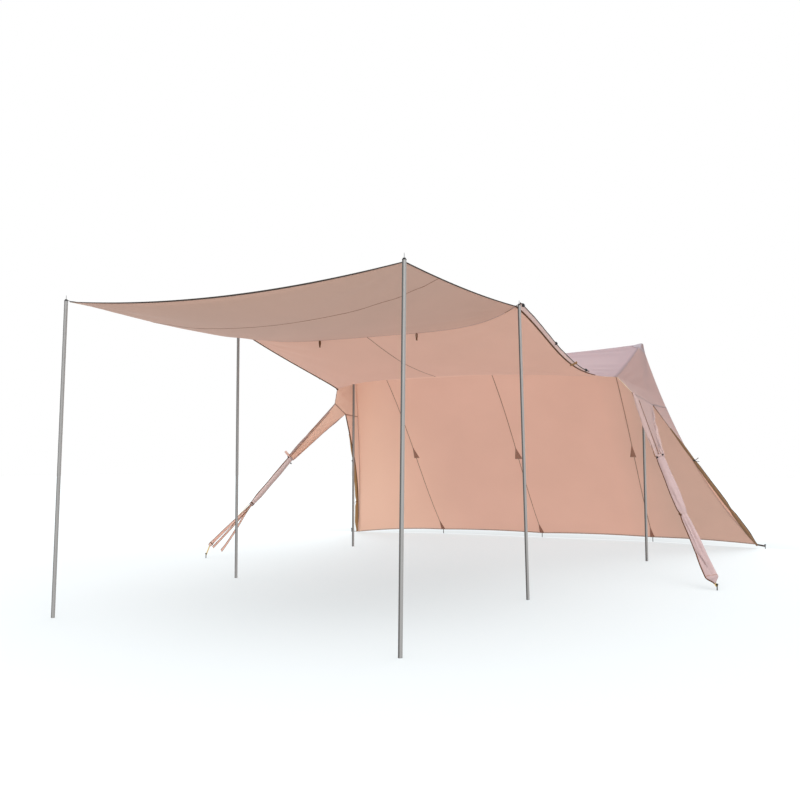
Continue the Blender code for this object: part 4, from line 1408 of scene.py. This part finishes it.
pale_start, pale_end = (mirrored(lower_start + lower_run * reach + STRAND_SPREAD * rise, -1)
                        for reach, rise in ((0.05, 0.028), (0.27, 0.030)))
add_band("strand_webbing_left", bezier(strand_t[::4], pale_start, pale_end), mirrored(STRAND_SPREAD, -1),
         0.010, 0.003, yellow_webbing, "webbing_pale", roll_left)
tag_start = mirrored(GATHER + STRAND_SPREAD * 0.02, -1)
tag_end = mirrored(GATHER + STRAND_SPREAD * 0.105, -1) + np.array((0, 0, 0.02))
add_band("gather_tag_left", bezier(strand_t[::4], tag_start, tag_end), np.array((0.3, -1.0, 0.1)), 0.016,
         0.002, strand_cloth, "cloth_roll", roll_left)
print(len(strands), "strands below the left tie")

# %% [markdown]
# ## Far rolls
#
# The far half-doors are rolled against the border's edge all the way down, dark brown on the right,
# slimmer and ochre on the left. They could hang straight, but the ties pinch them and the left edge bows
# out. So they follow that edge with a little room, and their radius falls at each tie.

# %% Far rolls
ROLL_CLEARANCE = 0.002
FAR_ROLL_RADIUS = 0.034
FAR_ROLL_TOP = 0.15
LEFT_SLIMNESS = 0.8
edge_line = bezier(np.linspace(FAR_ROLL_TOP, 1, 141), DOOR_APEX, DOOR_FAR_FOOT)
edge_run = unit(edge_line[-1] - edge_line[0])
inward = square_to(np.mean(border[-1] - border[0], axis=0), edge_run)
far_radius = FAR_ROLL_RADIUS * eased(roll_t, (0, 0.25), (0.16, 0.60), (0.24, 0.50), (0.30, 0.78),
                                     (0.60, 0.92), (0.66, 0.62), (0.72, 1.05), (0.86, 1.15), (1, 0.45))
left_bow = np.sin(math.pi * np.linspace(FAR_ROLL_TOP, 1, len(roll_t)))[:, None] * DOOR_BOW


def far_roll(edge, radius, seed):
    """Far roll that lies against an edge with a little room."""
    path = edge - inward * (radius + ROLL_CLEARANCE)[:, None]
    return rolled(path, inward, radius, 2.2, 0.8, seed, ruffle=0.30)


left_far_roll = far_roll(edge_line + left_bow, LEFT_SLIMNESS * far_radius, 45)
far_rolls = {"right": far_roll(edge_line, far_radius, 43), "left": settled(mirrored(left_far_roll, -1))}
for label, side in SIDES.items():
    panel = far_rolls[label]
    finish = dark_roll_cloth if label == "right" else ochre_roll_cloth
    cloth = add_sheet(f"far_roll_cloth_{label}", panel, [finish, finish], "cloth_roll_dark", "folded",
                      [f"gable_border_cloth_{label}"], thickness=0.002,
                      replaces=[f"far_door_roll_{label}"]).name
    band_on(f"far_roll_binding_{label}", cloth, panel, line, 1, dark_brown_tape, 0.006)
print("far rolls wound,", FAR_ROLL_RADIUS * 1000, "mm in radius on the right")

# %% [markdown]
# ## Ties and toggles
#
# A tie is a narrow ribbon of webbing once round the roll, knotted, with two short ends. Round the roll it
# follows the roll's own section, a little larger. Toggles are short black rods through loops at the
# gather.


# %% Ties and toggles
TIE_HALF_WIDTH = 0.006
KNOT_RADIUS = 0.0085
OUTER_TURN = 0.57


def tie_round(name, grid, row, grow, finish, on, tails=()):
    """Closed band round a roll at one row of its grid: its outer turn, pushed out from its middle."""
    turn = sample(grid, np.full(40, row), np.linspace(OUTER_TURN, 1.0, 40))
    centre = turn.mean(axis=0)
    turn = centre + (turn - centre) * grow
    ring = np.concatenate([turn, [turn[0]]])
    run = unit(sample(grid, row + 0.03, 0.5) - sample(grid, row - 0.03, 0.5))
    add_band(name, ring, unit(ring - centre), TIE_HALF_WIDTH, 0.0012, finish, on=on)
    knot = ring[np.argmin(ring[:, 1])]
    out = unit(knot - centre)
    rod(f"{name}_knot", knot + out * 0.004 - run * 0.010, knot + out * 0.004 + run * 0.010, KNOT_RADIUS,
        finish, "webbing", on)
    for k, tail in enumerate(np.array(tails, float)):
        path = bezier(np.linspace(0, 1, 21), knot + out * 0.004, knot + out * 0.020 + tail * 0.5,
                      knot + out * 0.008 + tail)
        add_band(f"{name}_end_{k}", path, np.cross(unit(tail), out), 0.0065, 0.0015, finish, on=on)


tie_round("near_tie_right", roll, TIE_SHARE, 1.06, fold_cloth, roll_right)
knot_place = sample(roll, TIE_SHARE, 1.0)
rod("near_tie_knot_right", knot_place + (-0.012, -0.010, 0.010), knot_place + (0.016, -0.016, -0.012), 0.008,
    dark_brown_tape, "webbing", roll_right)
tie_round("near_tie_left", upper_roll, 0.97, 1.10, dark_brown_tape, roll_left, ((0.02, -0.01, -0.04),))
for label, side in SIDES.items():
    panel = far_rolls[label]
    name = f"far_roll_cloth_{label}"
    tail = 0.05 if label == "right" else 0.02
    tie_round(f"far_tie_upper_{label}", panel, 0.24, 1.15, dark_tape, name,
              ((tail * side, 0.02, 0.7 * tail), (1.2 * tail * side, 0.02, -0.01)))
    tie_round(f"far_tie_lower_{label}", panel, 0.66, 1.15, brown_tape, name, ((0.03 * side, 0, -0.03),))
    outward = np.array((side * 0.10, -1.0, 0.10))
    across = mirrored(strips[label][3], side)
    centre = mirrored(GATHER, side)
    for k, (shift, drop) in enumerate(((-0.028, -0.010), (0.030, 0.014), (0.046, -0.045))):
        place = centre + across * shift + outward * 0.040 + np.array((0, 0, drop))
        rod(f"gather_toggle_{k}_{label}", place - across * 0.010, place + across * 0.010, KNOT_RADIUS,
            cap_plastic, "cap", f"near_corner_cloth_{label}")
    wound = roll if label == "right" else upper_roll
    belt = sample(wound, np.full(41, 0.012), np.linspace(0.50, 1.0, 41))
    belt = np.concatenate([belt, belt[:1]])
    belt = belt.mean(axis=0) + (belt - belt.mean(axis=0)) * 1.10
    add_band(f"gather_belt_{label}", belt, unit(belt - belt.mean(axis=0)), 0.009, 0.0014, fold_cloth,
             on=f"near_corner_cloth_{label}")
print("ties and toggles on the rolls")

# %% [markdown]
# ## Flaps
#
# Along the raised wall's side edge stands a narrow flap, where the closed door would be toggled on. It
# leans up and outwards from the edge, waves a little, and has a dark bound edge with three toggles. Near
# its lower end a short tie crosses it.

# %% Flaps
FLAP_RISE = 0.038
FLAP_LEAN = 0.038
FLAP_SPAN = (0.006, 0.775)
TOGGLE_HALF_LENGTH = 0.016
TOGGLE_RADIUS = 0.0150
flap_t = np.linspace(*FLAP_SPAN, 97)
flap_foot = rear_canopy_side(flap_t)
flap_out = unit(np.cross(np.gradient(flap_foot, axis=0), UP))
flap_reach = eased(flap_t, (FLAP_SPAN[0], 0.90), (0.20, 0.82), (0.50, 0.78), (FLAP_SPAN[1], 0.45))
flap_wave = 0.0022 * np.sin(flap_t * 55) * np.sin(flap_t * 17)
across_flap = np.linspace(0, 1, 11)
flap_step = flap_out * FLAP_LEAN + np.array((0, 0, FLAP_RISE)) + flap_wave[:, None] * np.array(UP)
flap_curl = 0.004 * np.sin(math.pi * across_flap)
flap = (flap_foot[:, None] + (flap_step * flap_reach[:, None])[:, None] * across_flap[None, :, None]
        + flap_out[:, None] * flap_curl[None, :, None])
for label, side in SIDES.items():
    panel = mirrored(flap, side)
    cloth = add_sheet(f"side_flap_cloth_{label}", panel, [flap_cloth, flap_cloth], "cloth_flap", "stretched",
                      [rear_name], outwards=(side, 0, 0), replaces=[f"side_flap_{label}"]).name
    band_on(f"flap_edge_{label}", cloth, panel, line, 1, dark_tape, 0.0045, 0.0024)
    band_on(f"flap_end_{label}", cloth, panel, 0.004, line, dark_tape, 0.005, 0.0022)
    for k, share in enumerate((0.03, 0.49, 0.96)):
        place = sample(panel, share, 1.0)
        half = TOGGLE_HALF_LENGTH * unit(sample(panel, share + 0.02, 1.0) - sample(panel, share - 0.02, 1.0))
        rod(f"flap_toggle_{k}_{label}", place - half, place + half, TOGGLE_RADIUS, cap_plastic, "cap", cloth)
    foot, rim = sample(panel, np.array([0.78, 0.80]), np.array([0.0, 1.0]))
    tie_path = bezier(np.linspace(0, 1, 31), foot + (foot - rim) * 0.35, rim + (rim - foot) * 0.55)
    tie_path = tie_path + np.array((side * 0.004, -0.005, -0.004))
    add_band(f"flap_tie_{label}", tie_path, np.array((side, -0.6, -0.3)), 0.013, 0.0025, ochre_tape, on=cloth)
print("flaps stand", FLAP_RISE * 1000, "mm up and", FLAP_LEAN * 1000, "mm out")

# %% [markdown]
# ## Peaks
#
# At each ridge pole a round patch is sewn over the cloth's peak and strains over the pole's end. It is a
# grid of bearings and radii: its rim lies on the cloth, found by looking straight down, and its height
# falls from the peak to the rim with a power of the radius, so that the top is blunt.

# %% Peak patches
PATCH_RADIUS = 0.11
PATCH_TOP = 2.618
depsgraph = bpy.context.evaluated_depsgraph_get()
trees = [BVHTree.FromObject(bpy.data.objects[name], depsgraph)
         for name in (roof_name, wall_name, "gable_head_cloth_right", "gable_head_cloth_left")]


def cloth_height(x, y):
    """Highest cloth under a point, by looking straight down; not a number where there is none."""
    start = Vector((float(x), float(y), 4.0))
    hits = [tree.ray_cast(start, Vector((0, 0, -1)))[0] for tree in trees]
    return max((hit.z for hit in hits if hit is not None), default=math.nan)


def patch_rim(side, bearing):
    """Reach and height of the farthest cloth at this bearing within the patch's radius of the peak."""
    reach = np.linspace(0.021, PATCH_RADIUS, 40)
    heights = np.array([cloth_height(side * (RIDGE_POLE[0] + r * math.cos(bearing)),
                                     ORIGIN[1] + r * math.sin(bearing)) for r in reach])
    within = np.hypot(reach, RIDGE_Z - heights) <= PATCH_RADIUS
    last = int(np.flatnonzero(within)[-1]) if within.any() else 0
    return reach[last], heights[last] if within.any() else RIDGE_Z


for label, side in SIDES.items():
    bearing = np.linspace(0, 2 * math.pi, 72, endpoint=False)
    rim_reach, rim_height = np.array([patch_rim(side, b) for b in bearing]).T
    rim_reach, rim_height = (np.convolve(np.concatenate([r[-1:], r, r[:1]]), (0.25, 0.5, 0.25), "valid")
                             for r in (rim_reach, rim_height))
    share = np.linspace(0.02, 1, 18)[:, None]
    height = PATCH_TOP - (PATCH_TOP - rim_height - 0.0015) * share ** 1.3
    x = side * (RIDGE_POLE[0] + share * rim_reach * np.cos(bearing))
    y = share * rim_reach * np.sin(bearing)
    patch = np.stack([x, y, height], axis=-1)
    patch = np.concatenate([patch, patch[:, :1]], axis=1)
    add_piece(f"peak_patch_{label}", patch, [peak_cloth], "peak_patch", outwards=UP,
              thickness=0.0025, replaces=[f"ridge_peak_cap_{label}"], on=roof_name)
print("peaks at", PATCH_TOP, "m")

# %% [markdown]
# ## Patches and loops
#
# Where a tarp is pulled at one point the cloth is doubled with a patch, mostly a triangle whose point
# runs up the seam. A patch is sampled from the cloth it lies on and lifted off it by a millimetre, so it
# follows every fold. Two loops of webbing hang from the seam between the mid poles, for a lamp or a line.

# %% Patches on cloth
PATCH_LIFT = 0.0013
LOOP_ASIDE = 0.52


def triangle_patch(name, cloth, grid, tip, base, half_base, finish, face):
    """Triangle on a cloth from tip to base, both given as shares; rows widen evenly from the tip."""
    p = np.linspace(0.06, 1, 13)[:, None]
    q = np.linspace(-1, 1, 13)[None, :]
    a = tip[0] + (base[0] - tip[0]) * p + half_base * p * q
    b = tip[1] + (base[1] - tip[1]) * p + 0 * q
    lift = sample(surface_normals(grid), a, b) * PATCH_LIFT * face
    add_piece(name, sample(grid, a, b) + lift, [finish], "cloth_outer", outwards=lift.mean(axis=(0, 1)),
              thickness=0.001, on=cloth)


# Both faces of each patch take the dark patch finishes, painted shade of the doubled cloth.
for name, share in wall_columns.items():
    for face, word in ((1.0, "outer"), (-1.0, "inner")):
        for kind, tip, base, half_base, finish in (("wall", 0.470, 0.535, 0.0085, patch_cloth),
                                                   ("stake", 0.925, 0.998, 0.0050, stake_cloth)):
            triangle_patch(f"{kind}_patch_{name}_{word}", wall_name, far_wall, (share, tip), (share, base),
                           half_base, finish, face)

for label, side in SIDES.items():
    top = sample(front_bay, 0.5 + side * LOOP_ASIDE / (2 * MID_CORNER[0]), 1.0)
    t = np.linspace(0, 2 * math.pi, 33)
    loop = np.stack([0.006 * np.sin(t), 0.003 * np.sin(2 * t), -0.034 + 0.034 * np.cos(t)], axis=1) + top
    sideways = np.stack([np.sin(t), 0 * t, np.cos(t)], axis=1)
    add_band(f"mid_line_loop_{label}", loop, sideways, 0.010, 0.0020, brown_tape, on=front_name)
print("patches and loops sewn on")

# %% [markdown]
# ## Corner webbing and stake ribbons
#
# Each awning corner ends in a strap of webbing with an eyelet that drops over the pole's spike. On the
# ground, a ribbon runs from each corner to its peg. Both are flat bands, and the eyelet is a ring of the
# same kind.

# %% Corner webbing
EYELET_RADIUS = 0.0075
LANDING = 0.0068
for label, side in SIDES.items():
    for name, top, corner, across in (("front", FRONT_TOP, FRONT_CORNER, 0.015),
                                      ("mid", MID_TOP, MID_CORNER, 0.985)):
        on_cloth = sample(front_bay, 0.5 + side * 0.490, across) + (0, 0, 0.006)
        landing = np.array((top[0] * side, top[1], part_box(f"{name}_pole_tip_{label}")[0].z + LANDING))
        corner_place = mirrored(corner, side)
        path = evenly(np.stack([on_cloth, corner_place, landing]), 41)
        path[:, 2] += 0.003 * np.sin(math.pi * np.linspace(0, 1, 41)) + 0.0015
        add_band(f"{name}_corner_webbing_{label}", path, np.array(UP), 0.008, 0.0014, grey_webbing,
                 on=front_name, replaces=[f"{name}_corner_strap_{label}"])
        angle = np.linspace(0, 2 * math.pi, 33)
        ring = landing + np.stack([EYELET_RADIUS * np.cos(angle), EYELET_RADIUS * np.sin(angle),
                                   0 * angle + 0.003], axis=1)
        add_band(f"{name}_eyelet_{label}", ring, np.array(UP), 0.0032, 0.0028, cap_plastic)
    near_start = TOE if label == "right" else upper_end
    for name, start, peg, finish in (("near", near_start, NEAR_PEG, yellow_webbing),
                                     ("far", DOOR_FAR_FOOT, FAR_PEG, dark_tape)):
        path = evenly(np.stack([start, (*peg, STAKE_Z)]), 21)
        band = settled(mirrored(swept(path, np.array((0.2, -0.8, 0.4)), 0.012, 0.0025), side))
        add_piece(f"{name}_stake_ribbon_{label}", band, [finish], "webbing", ring=True,
                  replaces=[f"{name}_stake_{label}_strap"])
print("corners and stakes strapped")

# %% [markdown]
# ## Camera
#
# The camera stands where the photo was taken: 1.15 m up, off the shelter's front right corner, looking
# slightly up. It could be placed by eye, but its numbers were worked out from the photo: the upright
# poles, the level floor and the two like halves of the shelter leave only one place for it.

# %% Camera
CAMERA_PLACE = np.array((3.5865, -10.0637, 1.15))
CAMERA_YAW = math.radians(25.856)
CAMERA_PITCH = math.radians(4.552)
FOCAL_PIXELS = 807.8
FRAME_PIXELS = 800.0
CENTRE_X_PIXELS = 398.4

scene = bpy.context.scene
lens = bpy.data.cameras.new("camera")
lens.sensor_width = 36.0
lens.lens = FOCAL_PIXELS / FRAME_PIXELS * lens.sensor_width
lens.shift_x = (FRAME_PIXELS / 2 - CENTRE_X_PIXELS) / FRAME_PIXELS
camera = bpy.data.objects.new("camera", lens)
camera.location = Vector(CAMERA_PLACE + ORIGIN)
camera.rotation_euler = (math.pi / 2 + CAMERA_PITCH, 0.0, CAMERA_YAW)
scene.collection.objects.link(camera)
scene.camera = camera

print("camera at", np.round(camera.location, 3))

# %% [markdown]
# ## Floor
#
# The photo is a studio cut-out: white all round, with a soft grey shadow under the shelter. A pale floor
# catches the shadow. Shade could come from the lamps alone, but then the poles would darken too. So the
# shadow is painted: the floor's own glow is dimmed in two soft ovals and close behind the wall's hem. It
# is stage, and not part of the object.

# %% Floor
FLOOR_HALF = 60.0
FLOOR_GLOW = 0.68
AWNING_SHADE = 0.14
ROUND_SHADE = 0.07
HEM_SHADE = 0.40
HEM_TURN = (SIDE_SEAM_FOOT[1] - FAR_CORNER[1]) / (FAR_CORNER[0] - SIDE_SEAM_FOOT[0])
floor_mesh = bpy.data.meshes.new("floor")
floor_corners = [(x * FLOOR_HALF, y * FLOOR_HALF, 0) for x, y in ((-1, -1), (1, -1), (1, 1), (-1, 1))]
floor_mesh.from_pydata(floor_corners, [], [(0, 1, 2, 3)])
floor = bpy.data.objects.new("floor", floor_mesh)
floor_finish, floor_shader, floor_start = new_finish("studio_floor", 0.9)
floor_shader.inputs["Base Color"].default_value = (0.20, 0.20, 0.20, 1.0)
floor_shader.inputs["Emission Strength"].default_value = FLOOR_GLOW
floor_place = floor_start.node("ShaderNodeTexCoord", None, 3)
floor_x = floor_place.axis(0)
floor_y = floor_place.axis(1) - float(ORIGIN[1])


def soft_oval(centre_x, centre_y, reach_x, reach_y):
    """One at the centre, falling off as e to the minus square of the distance over the reach."""
    across, along = (floor_x - centre_x) / reach_x, (floor_y - centre_y) / reach_y
    return floor_start.math("POWER", math.e, 0.0 - (across * across + along * along))


# Painted shadow: the floor's glow is dimmed in soft ovals under the awning and round the shelter.
under_awning = soft_oval(-0.6, -3.3, 4.8, 2.8) * AWNING_SHADE
all_round = soft_oval(0.4, -0.8, 6.0, 5.0) * ROUND_SHADE
# Painted shadow close behind the wall's hem, fading with the distance behind it and towards the sides.
past_seam = floor_start.math("MAXIMUM", floor_x.size() - SIDE_SEAM_FOOT[0], 0.0)
past_hem = floor_y + past_seam * HEM_TURN - SIDE_SEAM_FOOT[1]
narrowing = (floor_x / 3.4) * (floor_x / 3.4)
hem_fade = floor_start.math("POWER", math.e, 0.0 - narrowing * narrowing - past_hem * past_hem * 0.5)
is_behind = floor_start.node("ShaderNodeMapRange", None, Value=past_hem, From_Max=0.10)
behind_wall = is_behind * hem_fade * HEM_SHADE
wire(floor_start, floor_shader, Emission_Color=floor_start.blend(
    under_awning + all_round + behind_wall, (0.92, 1.0, 1.03, 1.0), (0.0, 0.0, 0.0, 1.0)))
floor_mesh.materials.append(floor_finish)
scene.collection.objects.link(floor)
print("floor shaded under the awning and behind the hem")

# %% [markdown]
# ## Light
#
# Studio light comes from all sides. One lamp would give the cloth hard shadows, so a white world gives
# the even light, a very soft sun from above lays the shadow under the awning, and a weaker one from the
# side lets the cloth's folds be seen.

# %% Light
world = bpy.data.worlds.new("studio")
world.use_nodes = True
world.node_tree.nodes["Background"].inputs["Color"].default_value = (1.0, 1.0, 1.0, 1.0)
world.node_tree.nodes["Background"].inputs["Strength"].default_value = 1.0
scene.world = world
for name, energy, spread, tilt in (("soft_sun", 2.4, 75, (-6, -5)), ("side_light", 1.0, 40, (45, 55))):
    lamp_data = bpy.data.lights.new(name, "SUN")
    lamp_data.energy = energy
    lamp_data.angle = math.radians(spread)
    lamp = bpy.data.objects.new(name, lamp_data)
    lamp.rotation_euler = (math.radians(tilt[0]), math.radians(tilt[1]), 0.0)
    scene.collection.objects.link(lamp)
scene.view_settings.view_transform = "Standard"
print("light from", len(bpy.data.lights), "lamps and a white world")

# %% Finish
for sheet in sheets:
    declare_sheet(*sheet)
